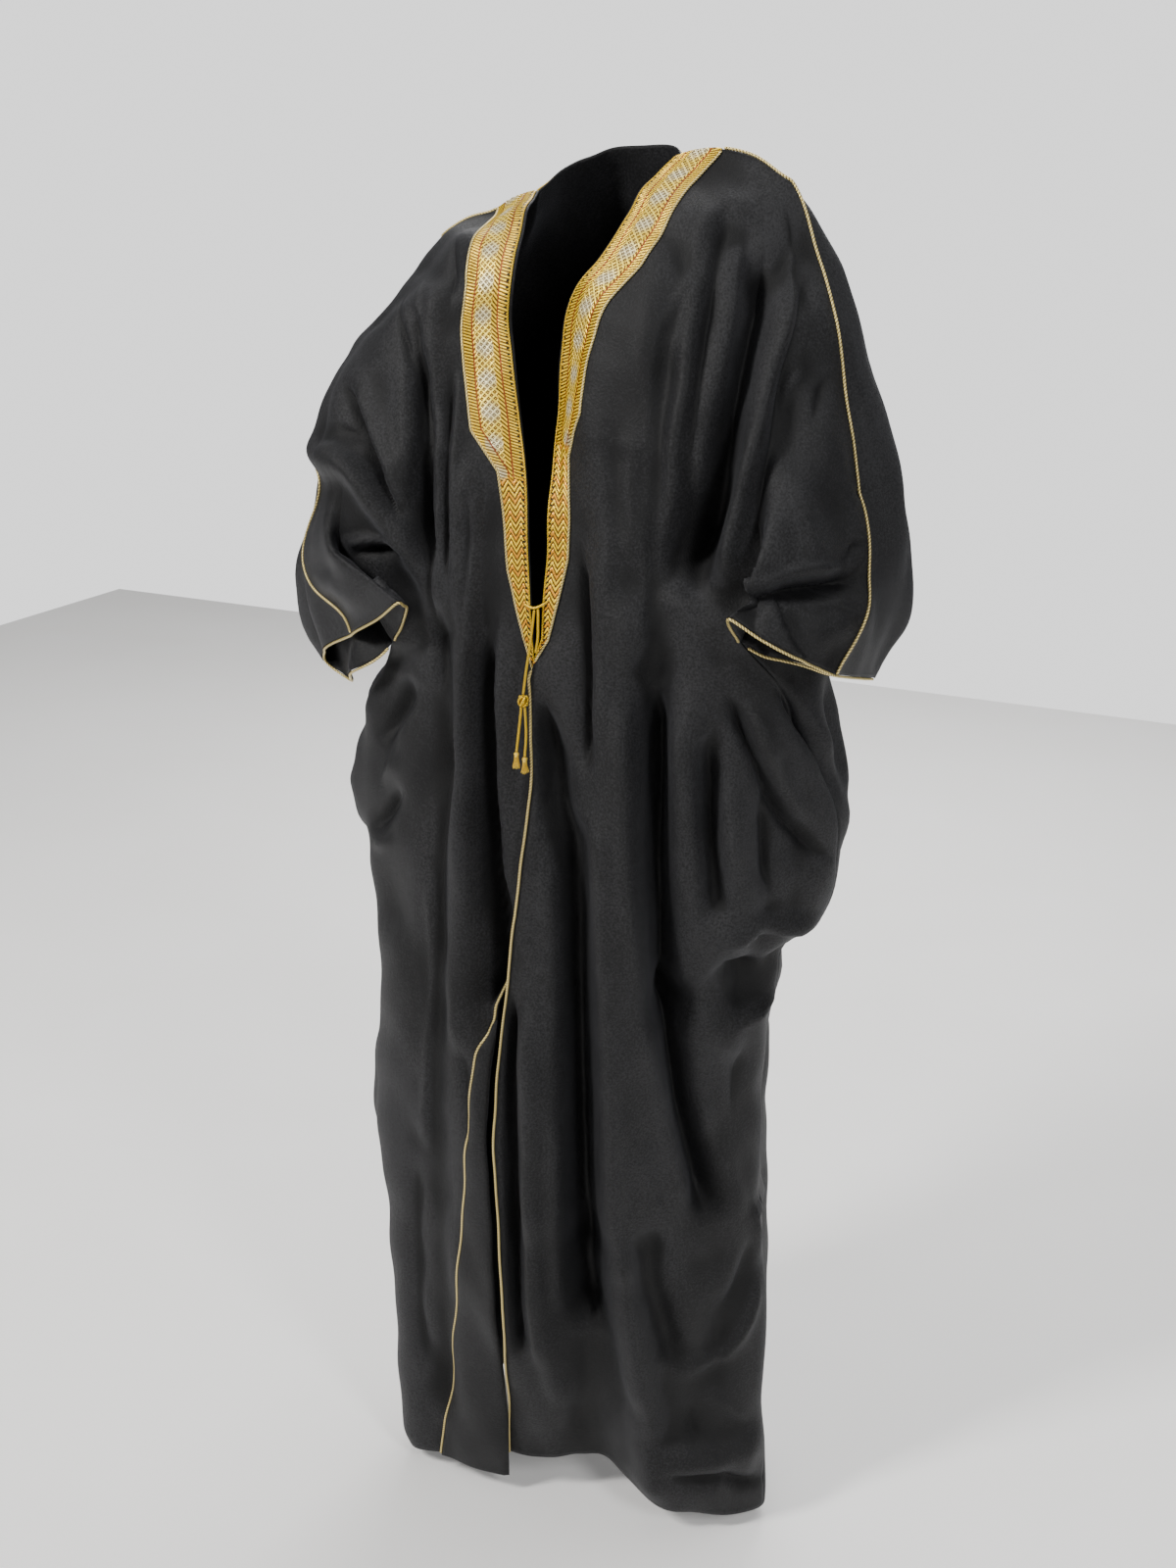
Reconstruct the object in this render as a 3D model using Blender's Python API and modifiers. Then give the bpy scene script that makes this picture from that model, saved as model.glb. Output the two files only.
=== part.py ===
"""Bisht cloak: black cloth cut in one with its sleeves, gold band, piping, edge cords and tie.

Worn form, arms akimbo. Metres, +Z up, the wearer faces -Y and the wearer's left is +X.
The origin is where the shoulders carry it, SHOULDER_HEIGHT above the ground.
"""

import bmesh
import bpy
import numpy as np

SHOULDER_HEIGHT = 1.50      # origin above the ground the wearer stands on
WALL = 0.0016               # cloth thickness
SEAM_GAP = 0.00045          # half of the space left between two pieces at a seam
CLEAR = 0.0004              # gap between a trim and what it lies on
PIPING_RADIUS = 0.0016      # shoulder and arm piping
CUFF_RADIUS = 0.0015        # cord round each cuff
EDGE_RADIUS = 0.0015        # cord down each front edge
BAND_THICKNESS = 0.0012     # gold band
BAND_COLUMNS = 3
UPPER_ROWS = 19             # neck to underarm
LOWER_ROWS = 21             # underarm to hem
FRONT_COLUMNS = 25          # front edge to arm seam
BACK_COLUMNS = 23           # spine to arm seam, each half
BODY_SHARE = 0.60           # part of a row's columns that goes on below the underarm
BOW_STEPS = 60
SPLIT_START = 0.34          # where along the arm the sleeve starts to part from the body

# Guide curves. Each row is x, y, height above the ground.
LEFT = {
    "shoulder": [
        (0.069, 0.000, 1.533), (0.112, 0.000, 1.540), (0.150, 0.000, 1.534), (0.186, 0.000, 1.509),
    ],
    "edge": [
        (0.069, -0.004, 1.533), (0.050, -0.028, 1.507), (0.039, -0.061, 1.469), (0.026, -0.083, 1.437),
        (0.004, -0.092, 1.404), (-0.007, -0.098, 1.355), (-0.008, -0.109, 1.285), (-0.002, -0.130, 1.190),
        (-0.003, -0.140, 1.100),
    ],
    "edge_below": [
        (-0.003, -0.140, 1.100), (-0.005, -0.144, 0.934), (-0.018, -0.150, 0.840), (-0.036, -0.150, 0.745),
        (-0.046, -0.150, 0.660), (-0.056, -0.150, 0.520), (-0.054, -0.145, 0.400), (-0.050, -0.140, 0.300),
        (-0.058, -0.120, 0.180), (-0.071, -0.090, 0.055),
    ],
    "arm": [
        (0.186, 0.000, 1.509), (0.214, -0.004, 1.462), (0.238, -0.012, 1.395), (0.260, -0.022, 1.320),
        (0.283, -0.034, 1.245), (0.300, -0.044, 1.178), (0.302, -0.062, 1.125), (0.288, -0.100, 1.066),
    ],
    "side": [
        (0.200, -0.118, 1.090), (0.236, -0.062, 1.020), (0.256, -0.015, 0.930), (0.262, 0.010, 0.840),
        (0.243, 0.020, 0.760), (0.206, 0.020, 0.700), (0.195, 0.020, 0.600), (0.195, 0.020, 0.450),
        (0.205, 0.020, 0.270), (0.205, 0.010, 0.140), (0.215, 0.000, 0.015),
    ],
    "cuff_front": [
        (0.200, -0.118, 1.090), (0.203, -0.172, 1.129), (0.244, -0.145, 1.098), (0.288, -0.100, 1.066),
    ],
    "cuff_back": [
        (0.200, -0.118, 1.090), (0.235, -0.110, 1.080), (0.268, -0.062, 1.056), (0.292, 0.015, 1.035),
        (0.288, -0.100, 1.066),
    ],
}
RIGHT = {
    "shoulder": [
        (-0.078, 0.000, 1.497), (-0.120, 0.000, 1.482), (-0.160, 0.000, 1.470), (-0.200, 0.000, 1.447),
    ],
    "edge": [
        (-0.078, -0.004, 1.497), (-0.066, -0.050, 1.478), (-0.060, -0.073, 1.455), (-0.055, -0.098, 1.412),
        (-0.059, -0.096, 1.380), (-0.053, -0.101, 1.345), (-0.042, -0.111, 1.289), (-0.026, -0.127, 1.225),
        (-0.018, -0.138, 1.133), (-0.014, -0.140, 1.085),
    ],
    "edge_below": [
        (-0.014, -0.140, 1.085), (-0.014, -0.144, 0.934), (-0.027, -0.150, 0.840), (-0.045, -0.150, 0.745),
        (-0.055, -0.150, 0.660), (-0.065, -0.150, 0.520), (-0.063, -0.145, 0.400), (-0.060, -0.140, 0.300),
        (-0.070, -0.122, 0.180), (-0.083, -0.100, 0.030),
    ],
    "arm": [
        (-0.200, 0.000, 1.447), (-0.256, -0.005, 1.366), (-0.292, -0.012, 1.325), (-0.318, -0.022, 1.285),
        (-0.332, -0.035, 1.235), (-0.316, -0.050, 1.196), (-0.330, -0.060, 1.115), (-0.240, -0.120, 1.050),
    ],
    "side": [
        (-0.190, -0.115, 1.045), (-0.226, -0.072, 1.006), (-0.268, -0.036, 0.962), (-0.294, -0.010, 0.900),
        (-0.296, 0.000, 0.800), (-0.278, 0.000, 0.730), (-0.268, 0.000, 0.620), (-0.286, 0.000, 0.450),
        (-0.262, 0.000, 0.360), (-0.266, 0.000, 0.200), (-0.252, 0.000, 0.110), (-0.228, -0.020, 0.010),
    ],
    "cuff_front": [
        (-0.190, -0.115, 1.045), (-0.150, -0.175, 1.100), (-0.195, -0.150, 1.075), (-0.240, -0.120, 1.050),
    ],
    "cuff_back": [
        (-0.190, -0.115, 1.045), (-0.222, -0.118, 1.014), (-0.270, -0.078, 0.988), (-0.322, -0.018, 0.972),
        (-0.344, -0.018, 0.982), (-0.318, -0.050, 1.008), (-0.240, -0.120, 1.050),
    ],
}
SPINE = [
    (-0.004, 0.075, 1.543), (-0.004, 0.095, 1.500), (-0.006, 0.122, 1.420), (-0.010, 0.136, 1.330),
    (-0.010, 0.140, 1.220), (-0.010, 0.140, 1.080),
]
SPINE_BELOW = [
    (-0.010, 0.140, 1.080), (-0.015, 0.142, 0.900), (-0.020, 0.146, 0.700), (-0.022, 0.152, 0.450),
    (-0.022, 0.158, 0.220), (-0.020, 0.162, 0.020),
]
NECK_COLUMNS = 10           # columns of each half of the back round the neck
NECK_SHARE = NECK_COLUMNS / BACK_COLUMNS
TOP_ROW_REACH = 0.30        # how far down the shoulder seam shapes the rows below it
SPLIT_SHARPNESS = 1.6       # how late the sleeve parts from the body

# Band width down the front edge. Each row is: place along the edge (0 neck, 1 underarm), width.
BAND_WIDTHS = [
    (0.00, 0.050), (0.15, 0.052), (0.45, 0.052), (0.58, 0.050), (0.67, 0.028), (0.88, 0.024), (1.00, 0.013),
]

# How full a row is between its two guides. Each row is: place along the guide (0 top, 1 end),
# handle at the front edge and its turn forward in degrees, front handle at the seam and its
# turn outward, back handle at the seam and its turn, handle at the spine.
FULLNESS_ABOVE = [
    (0.00, 0.060, 0, 0.020, 15, 0.040, 15, 0.080),
    (0.20, 0.110, 8, 0.060, 20, 0.095, 26, 0.130),
    (0.40, 0.140, 24, 0.090, 22, 0.125, 32, 0.160),
    (0.62, 0.150, 24, 0.110, 22, 0.145, 36, 0.175),
    (0.80, 0.160, 6, 0.120, 20, 0.145, 32, 0.180),
    (1.00, 0.120, 0, 0.060, 15, 0.135, 22, 0.170),
]
FULLNESS_BELOW = [
    (0.00, 0.100, 0, 0.060, 84, 0.160, 34, 0.170),
    (0.06, 0.115, 0, 0.070, 34, 0.150, 26, 0.170),
    (0.13, 0.125, 0, 0.085, 10, 0.125, 14, 0.170),
    (0.25, 0.130, 0, 0.090, 6, 0.095, 8, 0.170),
    (0.50, 0.120, 0, 0.090, 3, 0.080, 3, 0.150),
    (1.00, 0.120, 0, 0.070, 0, 0.090, 0, 0.150),
]

BAND_TIP_SHARE = 0.30       # width left at the band's point
NECK_BAND_COLUMNS = (15, 13, 11)    # columns of each half that the neck band covers, row by row
PIPING_START = 0.45         # piping starts this share of a column outside the band
PIPING_STOP = 0.08          # and stops this share of a row short of the cuff cord
CUFF_START = 0.35           # cuff cord starts this share of a column from the underarm
CUFF_CLEAR = 0.0008         # gap between the cuff cord and the cloth edge
TURNED_LIFT = 0.0008        # gap under the turned-back strip
EDGE_INSET = 0.0006         # front edge cord's centre inside the cloth edge
EDGE_CLEAR = 0.0006         # gap between the front edge cord and the cloth
EDGE_START = 0.12           # share of a row that the front edge cord starts below the band's tip

# Width of the first columns below the underarm, where the wearer's right front edge is turned
# back from TURNED_START down. Each row is place along the edge, width right, width left.
EDGE_COLUMNS = [
    (0.00, 0.013, 0.013), (0.42, 0.014, 0.024), (0.52, 0.018, 0.030), (0.62, 0.030, 0.040),
    (0.72, 0.048, 0.048), (0.82, 0.062, 0.056), (1.00, 0.078, 0.060),
]
TURNED_START = 0.63

TIE_RADIUS = 0.0014
TIE_ROWS = ((18, 19), (18, 18))     # rows of the left and right front between which the loop's ends lie
TIE_SAG = 0.004
TIE_SEAT = 0.0006           # gap between the tie's pieces where they meet
KNOT_RADIUS = 0.0062
END_SPREAD = 0.0020         # how far each cord end leaves the knot to its side
TIP_LENGTH = 0.018          # tassel below its head
# The long cord hangs from the loop to the knot, and a short cord hangs beside it. Two ends hang
# from the knot. Each row is how far x, y and height have moved from the start.
TIE_LONG = [
    (0.0, 0.0, 0.0), (-0.0025, -0.0040, -0.034), (-0.0060, -0.0070, -0.064), (-0.0085, -0.0080, -0.086),
]
TIE_SHORT = [
    (0.0, 0.0, 0.0), (0.0010, -0.0020, -0.014), (0.0015, -0.0036, -0.029), (-0.0005, -0.0044, -0.044),
]
TIE_END_LEFT = [(0.0, 0.0, 0.0), (0.0015, -0.0005, -0.030), (0.0000, -0.0006, -0.052)]
TIE_END_RIGHT = [(0.0, 0.0, 0.0), (-0.0025, -0.0005, -0.024), (-0.0055, -0.0006, -0.048)]

FOLD_FADE = 0.05            # length over which a fold starts and ends
FOLD_SMOOTHING = 4          # passes that even out the direction in which the folds move the cloth

# Folds. Each row is: the side of the garment it shows on, place and height of one end, place
# and height of the other (places are x on the front and back, y on the sides), width, and
# depth at each end (plus is a ridge, minus a trough).
FOLDS = [
    ("front", 0.119, 1.46, 0.104, 1.12, 0.017, -0.010, -0.014),
    ("front", 0.050, 1.36, 0.084, 1.06, 0.028, 0.006, 0.008),
    ("front", 0.155, 1.49, 0.158, 1.22, 0.020, 0.008, 0.010),
    ("front", 0.205, 1.45, 0.152, 1.14, 0.016, -0.010, -0.024),
    ("front", 0.236, 1.36, 0.210, 1.18, 0.016, -0.006, -0.009),
    ("front", 0.170, 1.130, 0.300, 1.158, 0.019, -0.013, -0.009),
    ("front", 0.225, 1.092, 0.300, 1.115, 0.018, 0.005, 0.005),
    ("front", 0.083, 1.08, 0.083, 0.36, 0.022, 0.008, 0.012),
    ("front", 0.080, 0.38, 0.106, 0.05, 0.024, 0.012, 0.018),
    ("front", 0.020, 0.98, 0.050, 0.36, 0.020, -0.008, -0.018),
    ("front", 0.046, 0.40, 0.036, -0.10, 0.045, -0.014, -0.052),
    ("front", 0.113, 1.07, 0.128, 0.66, 0.022, -0.018, -0.024),
    ("front", 0.128, 0.70, 0.162, 0.34, 0.022, -0.022, -0.010),
    ("front", 0.146, 1.02, 0.152, 0.62, 0.017, 0.009, 0.010),
    ("front", 0.168, 1.00, 0.170, 0.78, 0.016, -0.008, -0.006),
    ("front", 0.190, 0.99, 0.190, 0.77, 0.018, 0.008, 0.010),
    ("front", 0.190, 1.00, 0.248, 0.84, 0.022, -0.006, -0.012),
    ("front", 0.150, 0.715, 0.200, 0.690, 0.032, -0.012, -0.018),
    ("front", 0.200, 0.650, 0.165, 0.620, 0.028, 0.008, 0.005),
    ("front", -0.012, 0.66, -0.012, 0.40, 0.016, 0.007, 0.007),
    ("front", -0.012, 0.44, 0.000, 0.16, 0.014, 0.008, 0.010),
    ("front", 0.204, 0.34, 0.165, 0.20, 0.016, -0.006, -0.010),
    ("front", 0.165, 0.12, 0.165, 0.02, 0.048, 0.030, 0.004),
    ("front", -0.140, 1.40, -0.131, 1.02, 0.013, 0.008, 0.010),
    ("front", -0.086, 1.24, -0.100, 0.62, 0.014, 0.010, 0.012),
    ("front", -0.152, 1.38, -0.122, 1.02, 0.011, -0.010, -0.014),
    ("front", -0.066, 1.10, -0.066, 0.62, 0.012, -0.008, -0.012),
    ("front", -0.120, 0.95, -0.150, 0.10, 0.020, -0.006, -0.014),
    ("front", -0.190, 0.72, -0.205, 0.02, 0.026, 0.006, 0.014),
    ("front", -0.326, 1.225, -0.205, 1.236, 0.016, 0.008, 0.012),
    ("front", -0.205, 1.236, -0.130, 1.110, 0.016, 0.012, 0.008),
    ("front", -0.300, 1.096, -0.200, 1.098, 0.016, 0.006, 0.005),
    ("left", 0.010, 1.02, 0.060, 0.80, 0.018, -0.010, -0.016),
    ("left", 0.070, 1.10, 0.030, 0.86, 0.022, 0.008, 0.014),
    ("left", -0.020, 0.735, 0.090, 0.700, 0.022, -0.016, -0.012),
    ("left", 0.050, 0.62, 0.050, -0.10, 0.022, -0.012, -0.016),
    ("left", 0.105, 0.60, 0.110, -0.10, 0.022, 0.006, 0.012),
    ("right", -0.060, 0.95, 0.040, 0.86, 0.016, -0.014, -0.010),
    ("right", -0.040, 0.86, 0.070, 0.80, 0.016, 0.012, 0.008),
    ("right", -0.070, 0.80, 0.050, 0.745, 0.016, -0.014, -0.012),
    ("right", 0.060, 0.64, 0.050, -0.10, 0.022, -0.010, -0.018),
    ("right", -0.030, 0.60, -0.040, -0.10, 0.020, -0.006, -0.012),
    ("back", -0.235, 1.05, -0.215, -0.10, 0.018, -0.010, -0.024),
    ("back", -0.170, 1.22, -0.165, -0.10, 0.020, 0.006, 0.018),
    ("back", -0.115, 1.30, -0.120, -0.10, 0.017, -0.008, -0.026),
    ("back", -0.060, 1.20, -0.070, -0.10, 0.020, 0.004, 0.014),
    ("back", -0.018, 1.25, -0.012, -0.10, 0.016, -0.006, -0.020),
    ("back", 0.040, 1.10, 0.040, -0.10, 0.020, 0.004, 0.014),
    ("back", 0.085, 1.32, 0.092, -0.10, 0.017, -0.008, -0.028),
    ("back", 0.135, 1.20, 0.140, -0.10, 0.019, 0.006, 0.018),
    ("back", 0.190, 1.10, 0.175, -0.10, 0.018, -0.010, -0.022),
    ("back", 0.150, 1.46, 0.245, 1.16, 0.020, -0.008, -0.012),
    ("back", -0.170, 1.42, -0.285, 1.14, 0.020, -0.008, -0.012),
    ("back", 0.120, 1.40, 0.180, 1.16, 0.024, 0.006, 0.010),
    ("back", -0.130, 1.38, -0.215, 1.14, 0.024, 0.006, 0.010),
]


def unit(vectors):
    return vectors / np.linalg.norm(vectors, axis=-1, keepdims=True)


def smooth(value):
    value = np.clip(value, 0.0, 1.0)
    return value * value * (3.0 - 2.0 * value)


def along(rows, places):
    """Points of a smooth curve through rows, at places from 0 to 1 of its length."""
    rows = np.asarray(rows, float)
    chord = np.linalg.norm(np.diff(rows, axis=0), axis=1)
    knots = np.concatenate([[0.0], np.cumsum(chord)])
    knots /= knots[-1]
    slopes = np.gradient(rows, knots, axis=0)
    places = np.atleast_1d(places)
    index = np.clip(np.searchsorted(knots, places, side="right") - 1, 0, len(knots) - 2)
    span = (knots[index + 1] - knots[index])[:, None]
    local = ((places - knots[index])[:, None]) / span
    square, cube = local**2, local**3
    return (
        (2 * cube - 3 * square + 1) * rows[index]
        + (cube - 2 * square + local) * span * slopes[index]
        + (3 * square - 2 * cube) * rows[index + 1]
        + (cube - square) * span * slopes[index + 1]
    )


def table_at(table, places):
    """Columns of a table after its first, read at places in that first column."""
    table = np.asarray(table, float)
    return np.stack([np.interp(places, table[:, 0], column) for column in table.T[1:]], axis=-1)


def bow(start, start_handle, end, end_handle, share):
    """Points of rounded rows, share (rows, columns) being the part of each row's length."""
    even = np.tile(np.linspace(0.0, 1.0, BOW_STEPS + 1), (len(share), 1))
    steps = np.linalg.norm(np.diff(bow_points(start, start_handle, end, end_handle, even), axis=1), axis=-1)
    length = np.concatenate([np.zeros((len(share), 1)), np.cumsum(steps, axis=1)], axis=1)
    length /= length[:, -1:]
    share = np.stack([np.interp(one, reached, even[0]) for one, reached in zip(share, length)])
    return bow_points(start, start_handle, end, end_handle, share)


def bow_points(start, start_handle, end, end_handle, share):
    share = share[..., None]
    left = 1.0 - share
    return (
        left**3 * start[:, None]
        + 3 * left**2 * share * (start + start_handle)[:, None]
        + 3 * left * share**2 * (end + end_handle)[:, None]
        + share**3 * end[:, None]
    )


def plan(x, y):
    """Vectors in plan from their x and y."""
    return np.stack([x, y, np.zeros_like(x)], axis=-1)


def rows_between(inner, outer, table, places, share, side, is_front):
    """Rounded rows from an inner guide (edge or spine) to an outer one (arm or side seam)."""
    edge, edge_turn, front, front_turn, back, back_turn, spine = table_at(table, places).T
    turn = np.radians(front_turn if is_front else back_turn)
    reach = -front if is_front else back
    edge_turn = np.radians(edge_turn)
    at_edge = plan(side * edge * np.cos(edge_turn), -edge * np.sin(edge_turn))
    inner_handle = at_edge if is_front else plan(side * spine, 0.0 * spine)
    outer_handle = plan(side * reach * np.sin(turn), reach * np.cos(turn))
    return bow(along(inner, places), inner_handle, along(outer, places), outer_handle, share)


def top_row(shoulder, spine_top, share, is_front):
    """The top row: the shoulder seam, and for the back the neck curve before it."""
    if is_front:
        return along(shoulder, share)
    neck, spine_top = np.array(shoulder[0]), np.array(spine_top)
    bend = np.clip(share / NECK_SHARE, 0.0, 1.0)[:, None] * np.pi / 2
    round_neck = np.concatenate([np.sin(bend), 1.0 - np.cos(bend), 1.0 - np.cos(bend)], axis=1)
    behind = spine_top + (neck - spine_top) * round_neck
    on_seam = np.clip((share - NECK_SHARE) / (1.0 - NECK_SHARE), 0.0, 1.0)
    return np.where(on_seam[:, None] > 0.0, along(shoulder, on_seam), behind)


def panel_half(guides, side, is_front, columns):
    """Upper and lower point grids of one front, or of one half of the back."""
    inner_above = guides["edge"] if is_front else SPINE
    inner_below = guides["edge_below"] if is_front else SPINE_BELOW
    body = round(BODY_SHARE * columns)
    above = np.linspace(0.0, 1.0, UPPER_ROWS + 1)
    below = np.linspace(0.0, 1.0, LOWER_ROWS + 1)
    share = np.tile(np.linspace(0.0, 1.0, columns + 1), (len(above), 1))
    if is_front:
        full = rows_between(inner_above, guides["arm"], FULLNESS_ABOVE, above, share, side, True)
        length = row_lengths(full)
        length[0] = row_lengths(along(guides["shoulder"], share[0])[None])[0]
        share = band_columns(share, body, band_width(above) / length)
    upper = rows_between(inner_above, guides["arm"], FULLNESS_ABOVE, above, share, side, is_front)
    top = top_row(guides["shoulder"], SPINE[0], share[0], is_front)
    fade = 1.0 - smooth(above / TOP_ROW_REACH)
    upper += fade[:, None, None] * (top - upper[0])[None]
    share_below = np.tile(np.linspace(0.0, 1.0, body + 1), (len(below), 1))
    lower = rows_between(inner_below, guides["side"], FULLNESS_BELOW, below, share_below, side, is_front)
    if is_front:
        width = table_at(EDGE_COLUMNS, below)[:, 0 if side < 0 else 1]
        share_below = band_columns(share_below, body, width / row_lengths(lower))
        lower = rows_between(inner_below, guides["side"], FULLNESS_BELOW, below, share_below, side, True)
    cuff = guides["cuff_front"] if is_front else guides["cuff_back"]
    sleeve = along(cuff, (share[-1, body:] - share[-1, body]) / (1.0 - share[-1, body]))
    last = np.concatenate([lower[0], sleeve[1:]])
    part = smooth((above - SPLIT_START) / (1.0 - SPLIT_START)) ** SPLIT_SHARPNESS
    upper += part[:, None, None] * (last - upper[-1])[None]
    return upper, lower


def row_lengths(points):
    return np.linalg.norm(np.diff(points, axis=1), axis=-1).sum(axis=1)


def band_columns(share, body, band):
    """Moves the first columns so that the band's outer edge is a column of the front."""
    share = share.copy()
    fixed = share[:, body].copy()
    share[:, : BAND_COLUMNS + 1] = band[:, None] * np.linspace(0.0, 1.0, BAND_COLUMNS + 1)
    rest = np.linspace(0.0, 1.0, body - BAND_COLUMNS + 1)
    share[:, BAND_COLUMNS : body + 1] = band[:, None] + (fixed - band)[:, None] * rest
    return share


def band_width(place):
    table = np.asarray(BAND_WIDTHS)
    return np.interp(place, table[:, 0], table[:, 1])


def grid_faces(index, flip):
    """Quads of an index grid, pointing out of the garment."""
    first, second = index[:-1, :-1], index[:-1, 1:]
    third, fourth = index[1:, 1:], index[1:, :-1]
    order = [first, fourth, third, second] if flip else [first, second, third, fourth]
    return np.stack(order, axis=-1).reshape(-1, 4)


def panel(upper, lower, body_start, body_end, flip):
    """One cloth panel. The lower grid hangs from columns body_start to body_end of the upper one."""
    rows, columns = upper.shape[:2]
    upper_index = np.arange(rows * columns).reshape(rows, columns)
    hanging = lower[1:]
    lower_index = rows * columns + np.arange(hanging.shape[0] * hanging.shape[1])
    lower_index = lower_index.reshape(hanging.shape[:2])
    lower_index = np.concatenate([upper_index[-1:, body_start : body_end + 1], lower_index])
    return {
        "points": np.concatenate([upper.reshape(-1, 3), hanging.reshape(-1, 3)]),
        "faces": np.concatenate([grid_faces(upper_index, flip), grid_faces(lower_index, flip)]),
        "upper": upper_index,
        "lower": lower_index,
    }


def front_panel(guides, side):
    upper, lower = panel_half(guides, side, True, FRONT_COLUMNS)
    return panel(upper, lower, 0, lower.shape[1] - 1, side > 0)


def back_panel():
    halves = [panel_half(guides, side, False, BACK_COLUMNS) for guides, side in ((RIGHT, -1), (LEFT, 1))]
    upper = np.concatenate([halves[0][0][:, :0:-1], halves[1][0]], axis=1)
    lower = np.concatenate([halves[0][1][:, :0:-1], halves[1][1]], axis=1)
    body = round(BODY_SHARE * BACK_COLUMNS)
    return panel(upper, lower, BACK_COLUMNS - body, BACK_COLUMNS + body, False)


def corner_normals(points, faces):
    """Outward unit normals at the points."""
    one, two, three, four = (points[faces[:, corner]] for corner in range(4))
    across = np.cross(three - one, four - two)
    normals = np.zeros_like(points)
    for corner in range(4):
        np.add.at(normals, faces[:, corner], across)
    return normals / np.linalg.norm(normals, axis=1, keepdims=True)


def even_normals(normals, faces):
    """Normals averaged with those of the neighbouring points."""
    middle = normals[faces].sum(axis=1)
    result = np.zeros_like(normals)
    for corner in range(4):
        np.add.at(result, faces[:, corner], middle)
    return unit(result)


def seam_pairs(panels):
    """Border points of a front and of the back that lie on the same seam."""
    for name, side in (("front_left", 1), ("front_right", -1)):
        front, back = panels[name], panels["back"]
        outer = -1 if side > 0 else 0
        yield front, front["upper"][:, -1], front["upper"][:, -2], back, back["upper"][:, outer], (
            back["upper"][:, outer - side])
        yield front, front["lower"][:, -1], front["lower"][:, -2], back, back["lower"][:, outer], (
            back["lower"][:, outer - side])


def shape_panels():
    """The three cloth panels with their folds and with the seams opened by the seam gap."""
    panels = {
        "front_left": front_panel(LEFT, 1),
        "front_right": front_panel(RIGHT, -1),
        "back": back_panel(),
    }
    for item in panels.values():
        item["normals"] = corner_normals(item["points"], item["faces"])
    for step in range(FOLD_SMOOTHING):
        for item in panels.values():
            item["normals"] = even_normals(item["normals"], item["faces"])
        share_seam_normals(panels)
    for item in panels.values():
        depth = fold_depth(item["points"], item["normals"])
        item["points"] = item["points"] + item["normals"] * depth[:, None]
    for item in panels.values():
        item["normals"] = corner_normals(item["points"], item["faces"])
    share_seam_normals(panels)
    for front, edge, inside, back, back_edge, back_inside in seam_pairs(panels):
        open_seam(front["points"], edge, inside)
        open_seam(back["points"], back_edge, back_inside)
    for item in panels.values():
        open_seam(item["points"], item["upper"][0], item["upper"][1])
        item["points"][:, 2] -= SHOULDER_HEIGHT
    return panels


def share_seam_normals(panels):
    for front, edge, _, back, back_edge, _ in seam_pairs(panels):
        both = front["normals"][edge] + back["normals"][back_edge]
        both /= np.linalg.norm(both, axis=1, keepdims=True)
        front["normals"][edge] = both
        back["normals"][back_edge] = both


def open_seam(points, border, inside):
    inward = points[inside] - points[border]
    points[border] += SEAM_GAP * inward / np.linalg.norm(inward, axis=1, keepdims=True)


def fold_depth(points, normals):
    """How far each point is moved along its normal by the folds."""
    depth = np.zeros(len(points))
    facing = {
        "front": smooth((-normals[:, 1] - 0.05) / 0.45),
        "back": smooth((normals[:, 1] - 0.05) / 0.45),
        "left": smooth((normals[:, 0] - 0.15) / 0.45),
        "right": smooth((-normals[:, 0] - 0.15) / 0.45),
    }
    for where, place, height, far_place, far_height, width, deep, far_deep in FOLDS:
        across = points[:, 0] if where in ("front", "back") else points[:, 1]
        run = np.array([far_place - place, far_height - height])
        length = np.hypot(*run)
        run /= length
        apart = np.stack([across - place, points[:, 2] - height], axis=-1)
        down = apart @ run
        aside = apart @ np.array([-run[1], run[0]])
        fade = min(FOLD_FADE, 0.45 * length)
        ends = smooth((down + 0.5 * fade) / fade) * smooth((length + 0.5 * fade - down) / fade)
        here = deep + (far_deep - deep) * np.clip(down / length, 0.0, 1.0)
        depth += facing[where] * here * ends * np.exp(-((aside / width) ** 2))
    return depth


def mesh_object(name, points, faces, finish, wall):
    mesh = bpy.data.meshes.new(name)
    mesh.from_pydata([tuple(p) for p in points], [], [tuple(int(i) for i in face) for face in faces])
    mesh.materials.append(finish)
    mesh.shade_smooth()
    thing = bpy.data.objects.new(name, mesh)
    garment.objects.link(thing)
    shell = thing.modifiers.new("wall", "SOLIDIFY")
    shell.thickness = wall
    shell.offset = 1.0
    return thing


def tube(name, points, radius, finish, sides=1):
    curve = bpy.data.curves.new(name, "CURVE")
    curve.dimensions = "3D"
    curve.bevel_depth = radius
    curve.bevel_resolution = sides
    curve.use_fill_caps = True
    spline = curve.splines.new("POLY")
    spline.points.add(len(points) - 1)
    for place, point in zip(spline.points, points):
        place.co = (*point, 1.0)
    curve.materials.append(finish)
    thing = bpy.data.objects.new(name, curve)
    garment.objects.link(thing)
    return thing


def raised(item, index, lift):
    """Points of a panel moved out by its wall and a lift."""
    return item["points"][index] + item["normals"][index] * (WALL + lift)


def front_band(name, item, side):
    """Gold band on the first columns of a front, ending in a point below the underarm row."""
    index = item["upper"][:, : BAND_COLUMNS + 1]
    points = raised(item, index, CLEAR)
    tip = raised(item, item["lower"][1, : BAND_COLUMNS + 1], CLEAR)
    tip = tip[0] + (tip - tip[0]) * BAND_TIP_SHARE
    points = np.concatenate([points, tip[None]])
    faces = grid_faces(np.arange(points.shape[0] * points.shape[1]).reshape(points.shape[:2]), side > 0)
    mesh_object(name, points.reshape(-1, 3), faces, gold_thread, BAND_THICKNESS)


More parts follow.
